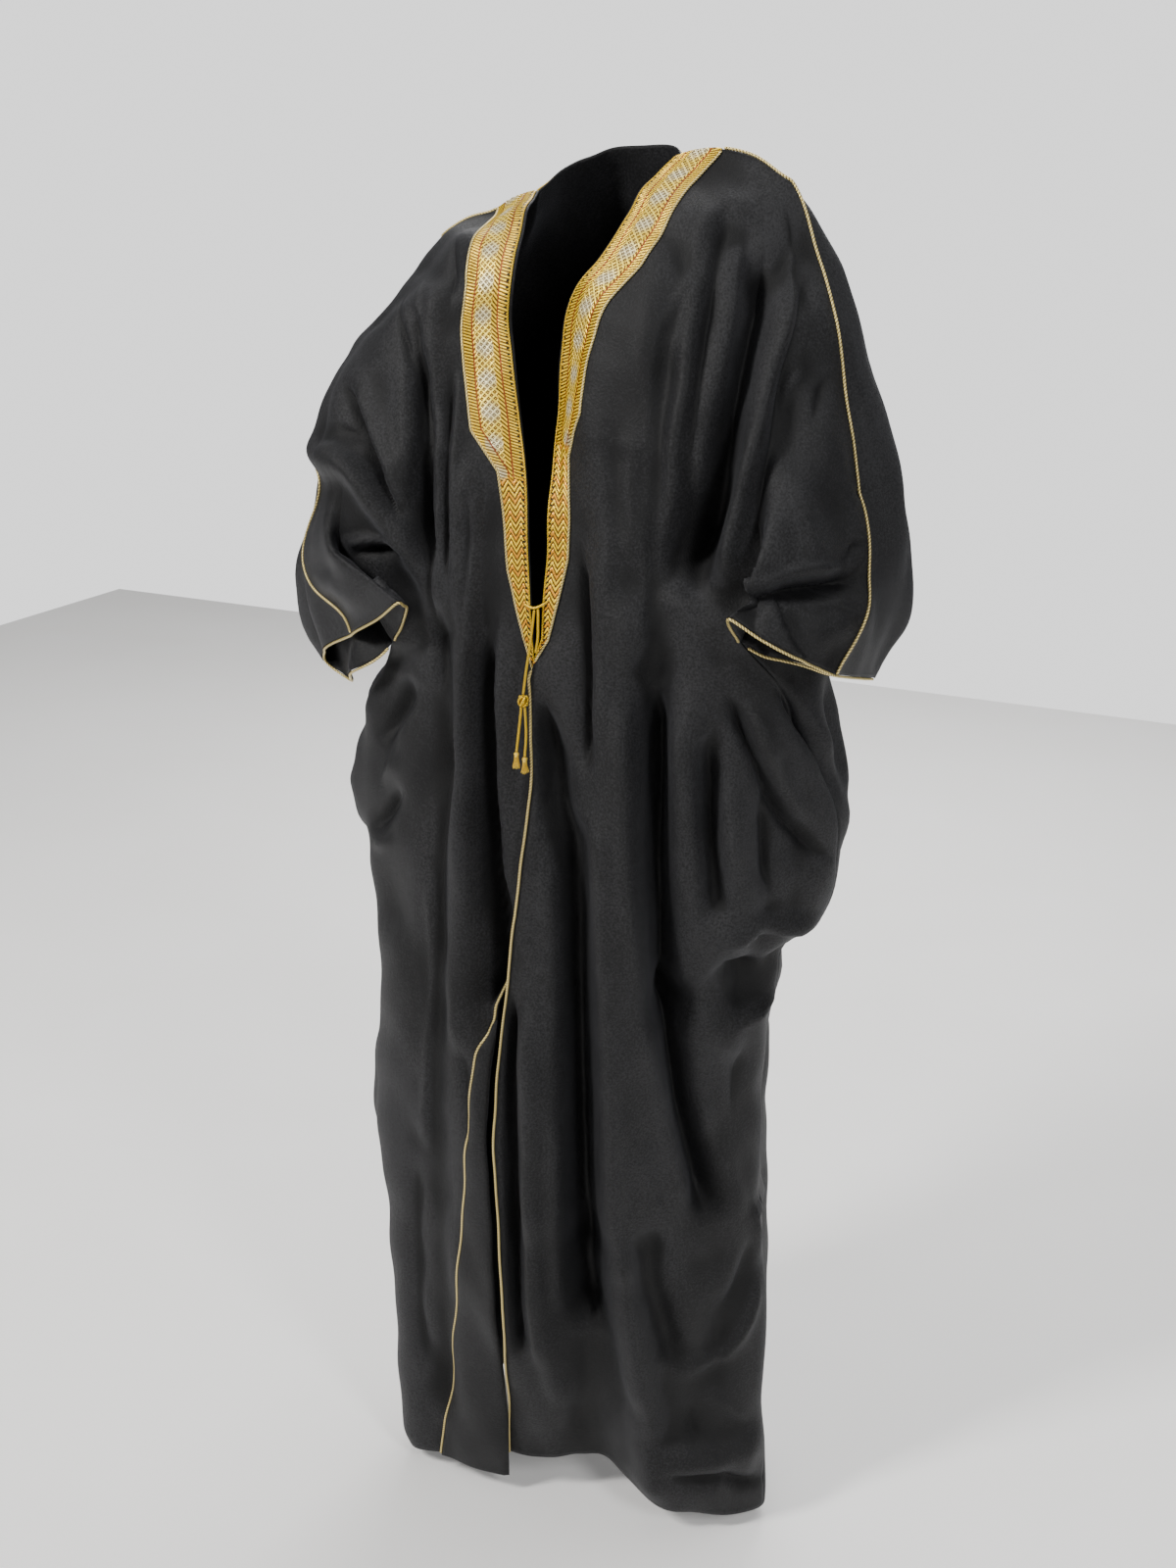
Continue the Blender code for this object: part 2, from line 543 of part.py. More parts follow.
def neck_band(item):
    """Gold band round the back of the neck, its ends cut off along the shoulders."""
    reach = NECK_BAND_COLUMNS[0]
    index = item["upper"][: len(NECK_BAND_COLUMNS), BACK_COLUMNS - reach : BACK_COLUMNS + reach + 1]
    faces = []
    for row, (above, below) in enumerate(zip(NECK_BAND_COLUMNS, NECK_BAND_COLUMNS[1:])):
        for column in range(-below, below):
            faces.append([(row, column), (row, column + 1), (row + 1, column + 1), (row + 1, column)])
        for column in range(below, above):
            faces.append([(row, column), (row, column + 1), (row + 1, below)])
            faces.append([(row, -column - 1), (row, -column), (row + 1, -below)])
    faces = [[index[row, column + reach] for row, column in face] for face in faces]
    used = sorted({point for face in faces for point in face})
    order = {point: place for place, point in enumerate(used)}
    points = raised(item, used, CLEAR)
    mesh_object("band_neck", points, [[order[point] for point in face] for face in faces], gold_thread,
                BAND_THICKNESS)


def arm_piping(name, front, back, side):
    """Piping on the ridge of the shoulder and arm seam, from the band to the cuff."""
    top = front["upper"][0, BAND_COLUMNS:]
    outer = -1 if side > 0 else 0
    halves = back["upper"][0, BACK_COLUMNS:] if side > 0 else back["upper"][0, : BACK_COLUMNS + 1]
    apart = np.linalg.norm(front["points"][top][:, None] - back["points"][halves][None], axis=-1)
    near = halves[np.argmin(apart, axis=1)]
    ridge = unit(front["normals"][top] + back["normals"][near])
    start = front["points"][top] + ridge * (WALL + CLEAR + PIPING_RADIUS)
    start[0] += (start[1] - start[0]) * PIPING_START
    down = front["upper"][1:, -1]
    down_back = back["upper"][1:, outer]
    middle = 0.5 * (front["points"][down] + back["points"][down_back])
    ridge = unit(front["normals"][down] + back["normals"][down_back])
    arm = middle + ridge * (WALL + CLEAR + PIPING_RADIUS)
    arm[-1] += (arm[-2] - arm[-1]) * PIPING_STOP
    tube(name, np.concatenate([start, arm]), PIPING_RADIUS, gold_thread)


def cuff_cord(name, front, back, side):
    """Cord along the cuff edge: underarm, over the wrist, seam corner, under the wrist."""
    body_front = round(BODY_SHARE * FRONT_COLUMNS)
    body_back = round(BODY_SHARE * BACK_COLUMNS)
    over = front["upper"][-1, body_front:], front["upper"][-2, body_front:]
    if side > 0:
        last, before = (back["upper"][row, BACK_COLUMNS + body_back :][::-1] for row in (-1, -2))
    else:
        last, before = (back["upper"][row, : BACK_COLUMNS - body_back + 1] for row in (-1, -2))
    border = np.concatenate([front["points"][over[0]], back["points"][last[1:]]])
    inside = np.concatenate([front["points"][over[1]], back["points"][before[1:]]])
    normals = np.concatenate([front["normals"][over[0]], back["normals"][last[1:]]])
    corner = len(over[0]) - 1
    border[corner] = 0.5 * (border[corner] + back["points"][last[0]])
    centre = rim(border, inside, normals)
    centre[0] += (centre[1] - centre[0]) * CUFF_START
    centre[-1] += (centre[-2] - centre[-1]) * CUFF_START
    tube(name, centre, CUFF_RADIUS, gold_thread)


def rim(border, inside, normals):
    """Centre line of a cord that lies against a cloth edge, mitred at the bends."""
    steps = unit(np.diff(border, axis=0))
    before, after = np.concatenate([steps[:1], steps]), np.concatenate([steps, steps[-1:]])
    ahead = unit(before + after)
    beyond = border - inside
    beyond = unit(beyond - ahead * np.sum(beyond * ahead, axis=1, keepdims=True))
    mitre = 1.0 / np.maximum(np.sum(ahead * after, axis=1, keepdims=True), 0.35)
    return border + beyond * mitre * (CUFF_RADIUS + CUFF_CLEAR) + normals * 0.5 * WALL


def turned_rows(item):
    """Lower rows on which the front edge is turned back."""
    height = item["points"][item["lower"][:, 0], 2] + SHOULDER_HEIGHT
    return np.flatnonzero(height < TURNED_START)


def edge_cord(name, item, turned):
    """Cord down a front edge, stepping on to the turned-back strip on the turned rows."""
    centre = []
    for row in range(1, LOWER_ROWS + 1):
        column = BAND_COLUMNS if row in turned else 0
        here, inside = item["lower"][row, column : column + 2]
        across = unit(item["points"][inside] - item["points"][here])
        reach = EDGE_RADIUS + CLEAR if row in turned else EDGE_INSET
        centre.append(item["points"][here] + across * reach
                      + item["normals"][here] * (WALL + EDGE_CLEAR + EDGE_RADIUS))
    centre[0] += (centre[1] - centre[0]) * EDGE_START
    tube(name, centre, EDGE_RADIUS, gold_thread)


def turned_strip(item, turned):
    points = raised(item, item["lower"][turned][:, : BAND_COLUMNS + 1], TURNED_LIFT)
    faces = grid_faces(np.arange(points.shape[0] * points.shape[1]).reshape(points.shape[:2]), False)
    mesh_object("turned_edge_right", points.reshape(-1, 3), faces, black_cloth, WALL)


def tie_loop(left, right):
    """Short loop that holds the two bands together. Returns the points of its centre line."""
    lift = CLEAR + BAND_THICKNESS + CLEAR + TIE_RADIUS
    ends = [np.mean([raised(item, item["upper"][row, 1], lift) for row in rows], axis=0)
            for item, rows in zip((left, right), TIE_ROWS)]
    middle = 0.5 * (ends[0] + ends[1]) - np.array([0.0, 0.5 * TIE_SAG, TIE_SAG])
    points = along([ends[0], middle, ends[1]], np.linspace(0.0, 1.0, 7))
    tube("tie_loop", points, TIE_RADIUS, gold_thread)
    return points


def hanging(name, start, rows):
    """Cord that hangs from its start. Returns its lower end."""
    points = start + along(rows, np.linspace(0.0, 1.0, 2 * len(rows) + 1))
    tube(name, points, TIE_RADIUS, gold_thread, 2)
    return points[-1]


def knot(name, centre):
    mesh = bpy.data.meshes.new(name)
    ball = bmesh.new()
    bmesh.ops.create_uvsphere(ball, u_segments=12, v_segments=8, radius=KNOT_RADIUS)
    bmesh.ops.translate(ball, verts=ball.verts, vec=centre)
    ball.to_mesh(mesh)
    ball.free()
    mesh.materials.append(gold_thread)
    mesh.shade_smooth()
    garment.objects.link(bpy.data.objects.new(name, mesh))


def tassel(name, top):
    """Small knotted head with its thread skirt, turned about its own axis."""
    profile = [(0.0, 0.0), (0.0024, -0.0008), (0.0030, -0.0030), (0.0017, -0.0056), (0.0026, -0.0100),
               (0.0036, -TIP_LENGTH), (0.0, -TIP_LENGTH)]
    mesh = bpy.data.meshes.new(name)
    turned_form = bmesh.new()
    line = [turned_form.verts.new((radius, 0.0, height)) for radius, height in profile]
    edges = [turned_form.edges.new(pair) for pair in zip(line, line[1:])]
    bmesh.ops.spin(turned_form, geom=line + edges, cent=(0, 0, 0), axis=(0, 0, 1), angle=2 * np.pi,
                   steps=8, use_merge=True)
    bmesh.ops.remove_doubles(turned_form, verts=turned_form.verts, dist=0.00001)
    bmesh.ops.recalc_face_normals(turned_form, faces=turned_form.faces)
    bmesh.ops.translate(turned_form, verts=turned_form.verts, vec=top)
    turned_form.to_mesh(mesh)
    turned_form.free()
    mesh.materials.append(gold_thread)
    mesh.shade_smooth()
    garment.objects.link(bpy.data.objects.new(name, mesh))


def material(name, colour, roughness, metallic=0.0):
    finish = bpy.data.materials.new(name)
    finish.use_nodes = True
    shader = finish.node_tree.nodes["Principled BSDF"]
    shader.inputs["Base Color"].default_value = (*colour, 1.0)
    shader.inputs["Roughness"].default_value = roughness
    shader.inputs["Metallic"].default_value = metallic
    return finish


for old in list(bpy.data.objects):
    bpy.data.objects.remove(old)
garment = bpy.data.collections.new("bisht_cloak")
bpy.context.scene.collection.children.link(garment)
black_cloth = material("black_cloth", (0.012, 0.012, 0.014), 0.55)
gold_thread = material("gold_thread", (0.75, 0.50, 0.13), 0.38, 0.7)

panels = shape_panels()
for panel_name, item in panels.items():
    mesh_object(panel_name, item["points"], item["faces"], black_cloth, WALL)
neck_band(panels["back"])
turned = turned_rows(panels["front_right"])
turned_strip(panels["front_right"], turned)
edge_cord("edge_cord_left", panels["front_left"], [])
edge_cord("edge_cord_right", panels["front_right"], turned)
for word, side in (("left", 1), ("right", -1)):
    front = panels["front_" + word]
    front_band("band_" + word, front, side)
    arm_piping("piping_" + word, front, panels["back"], side)
    cuff_cord("cuff_cord_" + word, front, panels["back"], side)

loop = tie_loop(panels["front_left"], panels["front_right"])
under_loop = np.array([0.0, 0.0, TIE_RADIUS + TIE_SEAT])
hanging("tie_short_cord", loop[2] - under_loop, TIE_SHORT)
long_end = hanging("tie_cord", loop[3] - under_loop, TIE_LONG)
to_knot = np.array([0.0, 0.0, KNOT_RADIUS + TIE_SEAT])
knot("tie_knot", long_end - to_knot)
for word, side, rows in (("left", 1, TIE_END_LEFT), ("right", -1, TIE_END_RIGHT)):
    below_knot = long_end - 2.0 * to_knot + np.array([side * END_SPREAD, 0.0, TIE_SEAT])
    tip = hanging("tie_end_" + word, below_knot, rows)
    tassel("tassel_" + word, tip - np.array([0.0, 0.0, TIE_SEAT]))
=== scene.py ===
import math
from functools import partial
import bmesh
import bpy
import numpy as np
from mathutils import Matrix, Vector


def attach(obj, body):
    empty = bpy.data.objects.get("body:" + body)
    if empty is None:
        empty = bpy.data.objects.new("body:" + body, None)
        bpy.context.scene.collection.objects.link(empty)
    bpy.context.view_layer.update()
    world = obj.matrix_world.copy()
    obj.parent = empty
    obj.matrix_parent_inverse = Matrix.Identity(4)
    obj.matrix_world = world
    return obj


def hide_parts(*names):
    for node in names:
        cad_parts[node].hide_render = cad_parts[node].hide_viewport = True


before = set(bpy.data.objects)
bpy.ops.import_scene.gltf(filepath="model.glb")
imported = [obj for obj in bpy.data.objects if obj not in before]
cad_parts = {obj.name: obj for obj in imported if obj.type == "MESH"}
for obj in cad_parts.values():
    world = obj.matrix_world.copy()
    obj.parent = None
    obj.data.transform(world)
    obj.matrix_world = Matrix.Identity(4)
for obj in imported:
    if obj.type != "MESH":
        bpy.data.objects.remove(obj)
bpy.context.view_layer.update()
floorHeight = -1.50  # metres, because the origin sits where the shoulders carry the cloak

# Camera
camera = {
    "azimuth": 25.46, "down": 18.48, "roll": 0.51,  # degrees
    "place": (0.845, -1.813, 0.05), "lens": 44.44, "sensor": 36.0,
}


def addCamera():
    turn, down, roll = (math.radians(camera[key]) for key in ("azimuth", "down", "roll"))
    forward = Vector((-math.sin(turn) * math.cos(down), math.cos(turn) * math.cos(down), -math.sin(down)))
    right = Vector((math.cos(turn), math.sin(turn), 0.0))
    up = right.cross(forward)
    right, up = (right * math.cos(roll) + up * math.sin(roll),
                 up * math.cos(roll) - right * math.sin(roll))
    data = bpy.data.cameras.new("studioCamera")
    data.lens, data.sensor_width = camera["lens"], camera["sensor"]
    eye = bpy.data.objects.new("studioCamera", data)
    bpy.context.scene.collection.objects.link(eye)
    turned = Matrix((right, up, -forward)).transposed().to_4x4()
    eye.matrix_world = Matrix.Translation(camera["place"]) @ turned
    bpy.context.scene.camera = eye


addCamera()


# Small tools
def unit(vectors):
    return vectors / np.maximum(np.linalg.norm(vectors, axis=-1, keepdims=True), 1e-12)


def smooth(value):
    value = np.clip(value, 0.0, 1.0)
    return value * value * (3.0 - 2.0 * value)


def curveThrough(rows, knots, places):
    # Smooth curve through rows at knots, read at places
    rows = np.asarray(rows, float)
    slopes = np.gradient(rows, knots, axis=0)
    index = np.clip(np.searchsorted(knots, places, side="right") - 1, 0, len(knots) - 2)
    shape = (-1,) + (1,) * (rows.ndim - 1)
    span = (knots[index + 1] - knots[index]).reshape(shape)
    local = (places - knots[index]).reshape(shape) / span
    square, cube = local**2, local**3
    return (
        (2 * cube - 3 * square + 1) * rows[index]
        + (cube - 2 * square + local) * span * slopes[index]
        + (3 * square - 2 * cube) * rows[index + 1]
        + (cube - square) * span * slopes[index + 1]
    )


def along(rows, places):
    rows = np.asarray(rows, float)
    knots = np.concatenate([[0.0], np.cumsum(np.linalg.norm(np.diff(rows, axis=0), axis=1))])
    return curveThrough(rows, knots / knots[-1], np.atleast_1d(places))


def gridAt(grid, rows, columns):
    # Smooth reading of a grid of points at fractional rows and columns
    padded = np.pad(grid, ((1, 1), (1, 1), (0, 0)), mode="reflect", reflect_type="odd")
    rows, columns = np.broadcast_arrays(rows, columns)
    starts, weights = [], []
    for places, count in ((rows, grid.shape[0]), (columns, grid.shape[1])):
        first = np.clip(np.floor(places).astype(int), 0, count - 2)
        f = places - first
        starts.append(first)
        weights.append([-0.5 * f**3 + f**2 - 0.5 * f, 1.5 * f**3 - 2.5 * f**2 + 1.0,
                        -1.5 * f**3 + 2.0 * f**2 + 0.5 * f, 0.5 * f**3 - 0.5 * f**2])
    total = np.zeros(rows.shape + grid.shape[2:])
    for i in range(4):
        for j in range(4):
            total += (weights[0][i] * weights[1][j])[..., None] * padded[starts[0] + i, starts[1] + j]
    return total


def tableAt(table, places):
    table = np.asarray(table, float)
    return np.stack([np.interp(places, table[:, 0], column) for column in table.T[1:]], axis=-1)


def lengths(points, axis):
    # Distance run along a grid from its first row or column
    steps = np.linalg.norm(np.diff(points, axis=axis), axis=-1)
    run = np.cumsum(steps, axis=axis)
    return np.concatenate([np.zeros_like(np.take(run, [0], axis=axis)), run], axis=axis)


# Tie cords, whose route points are those of the model
tie = {
    "radius": 0.0014, "pitch": 0.0055, "step": 0.00055, "places": 40, "loopPlaces": 30,
    "knotPlaces": 240, "knotTurns": (3, 5), "knotWaist": 0.0030, "knotSwell": 0.0017,
    "knotHeight": 0.0046, "knotCord": 0.95, "knotEnds": 0.05,
}
tieLoop = [
    (0.00229, -0.14379, -0.38702), (-0.00153, -0.14466, -0.38911), (-0.00536, -0.14555, -0.39124),
    (-0.00928, -0.14603, -0.39256), (-0.01339, -0.14578, -0.39243), (-0.01761, -0.14504, -0.39135),
    (-0.02184, -0.14429, -0.39023),
]
tieKnot = (-0.01778, -0.15403, -0.48736)
tieCords = {  # start, then how far each route point has moved from it, then what ends it
    "tieCord": {
        "node": "tie_cord", "start": (-0.00928, -0.14603, -0.39456), "farEnd": "knot",
        "length": 0.087, "route": [(0, 0, 0), (-0.0025, -0.004, -0.034), (-0.006, -0.007, -0.064),
                                   (-0.0085, -0.008, -0.086)],
    },
    "tieShortCord": {
        "node": "tie_short_cord", "start": (-0.00536, -0.14555, -0.39324), "farEnd": "bare",
        "length": 0.0445, "route": [(0, 0, 0), (0.001, -0.002, -0.014), (0.0015, -0.0036, -0.029),
                                    (-0.0005, -0.0044, -0.044)],
    },
    "tieEndLeft": {
        "node": "tie_end_left", "start": (-0.01578, -0.15403, -0.49356), "farEnd": "knot",
        "length": 0.052, "route": [(0, 0, 0), (0.0015, -0.0005, -0.03), (0, -0.0006, -0.052)],
    },
    "tieEndRight": {
        "node": "tie_end_right", "start": (-0.01978, -0.15403, -0.49356), "farEnd": "knot",
        "length": 0.048, "route": [(0, 0, 0), (-0.0025, -0.0005, -0.024), (-0.0055, -0.0006, -0.048)],
    },
}


# Twisted metal-thread cord: a lobed tube that turns as it goes
twist = {"grooveShape": 1.6, "tipLeast": 0.02, "weld": 0.004}


def evenPath(points, step):
    run = lengths(points, 0)
    count = max(4, int(round(run[-1] / step)))
    places = np.linspace(0.0, run[-1], count + 1)
    return np.stack([np.interp(places, run, column) for column in points.T], axis=1)


def cordFrames(path):
    # Directions across the path that don't spin about it
    ahead = unit(np.gradient(path, axis=0))
    side = np.empty_like(path)
    start = np.cross(ahead[0], (0.0, 0.0, 1.0))
    side[0] = unit(start if np.linalg.norm(start) > 0.2 else np.cross(ahead[0], (1.0, 0.0, 0.0)))
    for place in range(1, len(path)):
        flat = side[place - 1] - ahead[place] * np.dot(side[place - 1], ahead[place])
        side[place] = flat / np.linalg.norm(flat)
    return side, np.cross(ahead, side)


def twistedCord(name, points, radius, pitch, step, strands=3, around=12, depth=0.34, ends=0.6):
    path = evenPath(np.asarray(points, float), step)
    run = lengths(path, 0)
    side, over = cordFrames(path)
    angle = np.linspace(0.0, 2 * np.pi, around + 1)[None]
    phase = angle - 2 * np.pi * run[:, None] / pitch
    lobe = np.abs(np.sin(0.5 * strands * phase))
    reach = radius * (1.0 - depth * (1.0 - lobe) ** twist["grooveShape"])
    cap = np.minimum(1.0, np.minimum(run, run[-1] - run) / (ends * radius))[:, None]
    reach = reach * np.sqrt(np.maximum(1.0 - (1.0 - cap) ** 2, twist["tipLeast"]))
    ring = side[:, None] * np.cos(angle)[..., None] + over[:, None] * np.sin(angle)[..., None]
    rope = bmesh.new()
    uv = np.stack([strands * phase / (2 * np.pi), run[:, None] + 0.0 * angle], axis=-1)
    layGrid(rope, path[:, None] + ring * reach[..., None], {"thread": uv}, True)
    bmesh.ops.remove_doubles(rope, verts=rope.verts, dist=radius * twist["weld"])
    bmesh.ops.holes_fill(rope, edges=[edge for edge in rope.edges if edge.is_boundary], sides=0)
    bmesh.ops.recalc_face_normals(rope, faces=rope.faces)
    return toObject(name, rope), path


def layGrid(bm, points, uvMaps, flip):
    # A grid with its vertices set on the points, and a UV map for each name given
    rows, columns = points.shape[:2]
    made = bmesh.ops.create_grid(bm, x_segments=columns - 1, y_segments=rows - 1, size=1.0)["verts"]
    for vert, place in zip(made, points.reshape(-1, 3).tolist()):
        vert.co = place
    order = {vert: number for number, vert in enumerate(made)}
    faces = list({face: None for vert in made for face in vert.link_faces})
    for name, values in uvMaps.items():
        layer = bm.loops.layers.uv.get(name) or bm.loops.layers.uv.new(name)
        values = values.reshape(-1, 2).tolist()
        for face in faces:
            for loop in face.loops:
                loop[layer].uv = values[order[loop.vert]]
    if flip:
        bmesh.ops.reverse_faces(bm, faces=faces)


def toObject(name, bm):
    mesh = bpy.data.meshes.new(name)
    bm.to_mesh(mesh)
    bm.free()
    mesh.shade_smooth()
    thing = bpy.data.objects.new(name, mesh)
    bpy.context.scene.collection.objects.link(thing)
    return thing


def thicken(piece, thickness, side):
    shell = piece.modifiers.new("wall", "SOLIDIFY")
    shell.thickness, shell.offset = thickness, side


def dress(piece, finish, slotName, *nodes):
    piece.data.materials.clear()
    piece.data.materials.append(finish)
    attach(piece, "root")
    if nodes:
        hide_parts(*nodes)


# Materials: a noise is given as scale, detail and roughness, and limits as the range that is read
def tree(name):
    finish = bpy.data.materials.new(name)
    finish.use_nodes = True
    return finish, finish.node_tree, finish.node_tree.nodes["Principled BSDF"]


def add(net, kind, **settings):
    node = net.nodes.new("ShaderNode" + kind)
    for key, value in settings.items():
        setattr(node, key, value)
    return node


def mathNode(net, operation, first, second=0.0):
    node = add(net, "Math", operation=operation)
    for socket, value in zip(node.inputs, (first, second)):
        if isinstance(value, (int, float)):
            socket.default_value = value
        else:
            net.links.new(value, socket)
    return node.outputs[0]


def arithmetic(net):
    # Short names for the maths nodes that a material uses most
    operations = ("ADD", "SUBTRACT", "MULTIPLY", "ABSOLUTE")
    return (partial(mathNode, net, operation) for operation in operations)


def mixed(net, share, first, second):
    # Colour mix; share is a socket, colours are tuples or sockets
    node = add(net, "Mix", data_type="RGBA")
    net.links.new(share, node.inputs[0])
    for index, value in ((6, first), (7, second)):
        if isinstance(value, tuple):
            node.inputs[index].default_value = (*value, 1.0)
        else:
            net.links.new(value, node.inputs[index])
    return node.outputs[2]


def uvPart(net, name):
    source = add(net, "UVMap", uv_map=name)
    split = add(net, "SeparateXYZ")
    net.links.new(source.outputs[0], split.inputs[0])
    return split.outputs[0], split.outputs[1]


def objectPoint(net, scale=(1.0, 1.0, 1.0)):
    source = add(net, "TexCoord")
    mapping = add(net, "Mapping")
    mapping.inputs["Scale"].default_value = scale
    net.links.new(source.outputs["Object"], mapping.inputs["Vector"])
    return mapping.outputs[0]


def noise(net, where, scale, detail=3.0, rough=0.55):
    node = add(net, "TexNoise")
    node.inputs["Scale"].default_value = scale
    node.inputs["Detail"].default_value = detail
    node.inputs["Roughness"].default_value = rough
    net.links.new(where, node.inputs["Vector"])
    return node.outputs[0]


def between(net, value, low, high, start=0.0, end=1.0):
    node = add(net, "MapRange", clamp=True)
    net.links.new(value, node.inputs["Value"])
    for key, number in zip(("From Min", "From Max", "To Min", "To Max"), (low, high, start, end)):
        node.inputs[key].default_value = number
    return node.outputs[0]


def setValues(shader, values):
    for name, value in values.items():
        shader.inputs[name].default_value = value


def bump(net, shader, height, strength, distance):
    node = add(net, "Bump")
    node.inputs["Strength"].default_value = strength
    node.inputs["Distance"].default_value = distance
    net.links.new(height, node.inputs["Height"])
    net.links.new(node.outputs[0], shader.inputs["Normal"])


clothLook = {
    "dark": (0.0042, 0.0042, 0.0048), "light": (0.0195, 0.0195, 0.0214), "toneLimits": (0.30, 0.72),
    "paintedHollowShade": (0.0030, 0.0030, 0.0034), "paintedShadeLimits": (0.14, 0.60),
    "slow": (7.0, 4.0), "slowStretch": (1.0, 1.0, 0.45), "slowLimits": (0.35, 0.7),
    "grain": (450.0, 3.0, 0.6), "grainLimits": (0.34, 0.66), "rub": 13.0,
    "thread": 0.00085, "twill": 0.5, "weft": 0.25, "weftCount": 1.31,
    "slub": (1.0, 2.0), "slubStretch": (90.0, 90.0, 14.0), "slubHeight": 1.4,
    "roughness": (0.54, 0.70), "glossLimits": (0.3, 0.75), "bump": (0.45, 0.00014),
    "sockets": {
        "Sheen Weight": 0.06, "Sheen Roughness": 0.42, "Sheen Tint": (0.72, 0.74, 0.82, 1.0),
        "Specular IOR Level": 0.26,
    },
}


def blackCloth():
    # Fine worsted: twill threads over slow variations of tone and gloss, with painted shade making it
    # darker in the valleys
    look = clothLook
    finish, net, shader = tree("blackWorsted")
    plus, _, times, _ = arithmetic(net)
    across, down = uvPart(net, "cloth")
    shadeLevel, _ = uvPart(net, "paintedShade")
    period = 2 * math.pi / look["thread"]
    twill = mathNode(net, "SINE", times(plus(across, down), period))
    weft = mathNode(net, "SINE", times(down, period * look["weftCount"]))
    slow = noise(net, objectPoint(net, look["slowStretch"]), *look["slow"])
    slub = noise(net, objectPoint(net, look["slubStretch"]), *look["slub"])
    grain = noise(net, objectPoint(net), *look["grain"])
    patches, flecks = between(net, slow, *look["slowLimits"]), between(net, grain, *look["grainLimits"])
    tone = times(plus(patches, flecks), 0.5)
    worn = mixed(net, between(net, tone, *look["toneLimits"]), look["dark"], look["light"])
    # Painted shade: the darker hollow colour is mixed in where the cloth's valley level is low
    deep = mixed(net, between(net, shadeLevel, *look["paintedShadeLimits"]), look["paintedHollowShade"], worn)
    net.links.new(deep, shader.inputs["Base Color"])
    rough = between(net, slow, *look["glossLimits"], *look["roughness"])
    net.links.new(rough, shader.inputs["Roughness"])
    setValues(shader, look["sockets"])
    weave = plus(times(twill, look["twill"]), times(weft, look["weft"]))
    uneven = plus(times(slub, look["slubHeight"]), times(grain, look["rub"]))
    bump(net, shader, plus(weave, uneven), *look["bump"])
    return finish


threadLook = {
    "gold": (0.93, 0.60, 0.020), "goldGrooveShade": (0.14, 0.070, 0.008),
    "pale": (0.84, 0.68, 0.27), "paleGrooveShade": (0.10, 0.055, 0.015),
    "loose": ((0.66, 0.40, 0.030), (1.0, 0.74, 0.10)), "looseNoise": (1500.0, 2.0),
    "looseStretch": (1.0, 1.0, 0.35), "looseLimits": (0.35, 0.65), "looseBump": (0.4, 0.0002),
    "shade": 0.80, "grooveShadeLimits": (0.22, 0.46), "winding": 9000.0, "lead": 7.0, "bump": (0.35, 0.00008),
    "sockets": {"Metallic": 0.45, "Roughness": 0.36},
}


def goldCord(name, bright, grooveShade):
    # Metal thread wound round each strand, with painted shade on each winding and darker painted shade in
    # the groove between strands
    look = threadLook
    finish, net, shader = tree(name)
    plus, minus, times, absolute = arithmetic(net)
    strand, down = uvPart(net, "thread")
    part = absolute(minus(mathNode(net, "FRACT", strand), 0.5))
    wound = mathNode(net, "SINE", plus(times(down, look["winding"]), times(strand, look["lead"])))
    # Painted shade: each winding darkens by the shade share away from its crest
    windingShade = mixed(net, between(net, wound, -1.0, 1.0), tuple(look["shade"] * c for c in bright), bright)
    # Painted shade: the dark groove colour where the strands meet
    colour = mixed(net, between(net, part, *look["grooveShadeLimits"]), windingShade, grooveShade)
    net.links.new(colour, shader.inputs["Base Color"])
    setValues(shader, look["sockets"])
    bump(net, shader, wound, *look["bump"])
    return finish


def plainGold():
    # Loose metal threads, as in the tassels
    look = threadLook
    finish, net, shader = tree("looseGoldThread")
    fine = noise(net, objectPoint(net, look["looseStretch"]), *look["looseNoise"])
    colour = mixed(net, between(net, fine, *look["looseLimits"]), *look["loose"])
    net.links.new(colour, shader.inputs["Base Color"])
    setValues(shader, look["sockets"])
    bump(net, shader, fine, *look["looseBump"])
    return finish


worsted = blackCloth()
brightCord = goldCord("goldCord", threadLook["gold"], threadLook["goldGrooveShade"])
paleCord = goldCord("paleGoldCord", threadLook["pale"], threadLook["paleGrooveShade"])
looseGold = plainGold()
print("materials ready")

# Tie
for cordName, facts in tieCords.items():
    route = np.asarray(facts["start"]) + along(facts["route"], np.linspace(0.0, 1.0, tie["places"]))
    facts["piece"], facts["path"] = twistedCord(cordName, route, tie["radius"], tie["pitch"], tie["step"])
    dress(facts["piece"], brightCord, "gold_thread", facts["node"])
    print("cord", cordName, round(float(lengths(route, 0)[-1]), 4))


def makeKnot():
    # The cord woven round itself into a small ball
    turn = np.linspace(0.0, 2 * np.pi, tie["knotPlaces"])
    around, over = tie["knotTurns"]
    out = tie["knotWaist"] + tie["knotSwell"] * np.cos(over * turn)
    rope = np.stack([out * np.cos(around * turn), out * np.sin(around * turn),
                     tie["knotHeight"] * np.sin(over * turn)], axis=1) + np.asarray(tieKnot)
    piece, _ = twistedCord("tieKnot", rope, tie["radius"] * tie["knotCord"], tie["pitch"], tie["step"],
                           ends=tie["knotEnds"])
    return piece


tassel = {
    "seed": 11, "overlap": 0.0004, "head": 0.0050, "length": 0.018, "steps": 20, "weld": 0.00002,
    "crown": [(0.0, 0.0), (0.0018, -0.0003), (0.0026, -0.0012)],
    "windings": 6, "windingTop": 0.0016, "windingPitch": 0.00062, "windingHalf": 0.00031,
    "windingRadius": 0.0029, "grooveRadius": 0.00262, "taper": 0.00012,
    "foot": [(0.0017, -0.0058), (0.0, -0.0060)],
    "threads": 46, "turn": 0.618034, "skirt": (0.0006, 0.0015), "flare": (1.7, 2.7),
    "lengths": (0.86, 1.0), "clear": 0.0005, "sway": 0.0005,
    "threadRadius": 0.00021, "threadSides": 5, "threadParts": 5, "threadBend": 1.5,
}


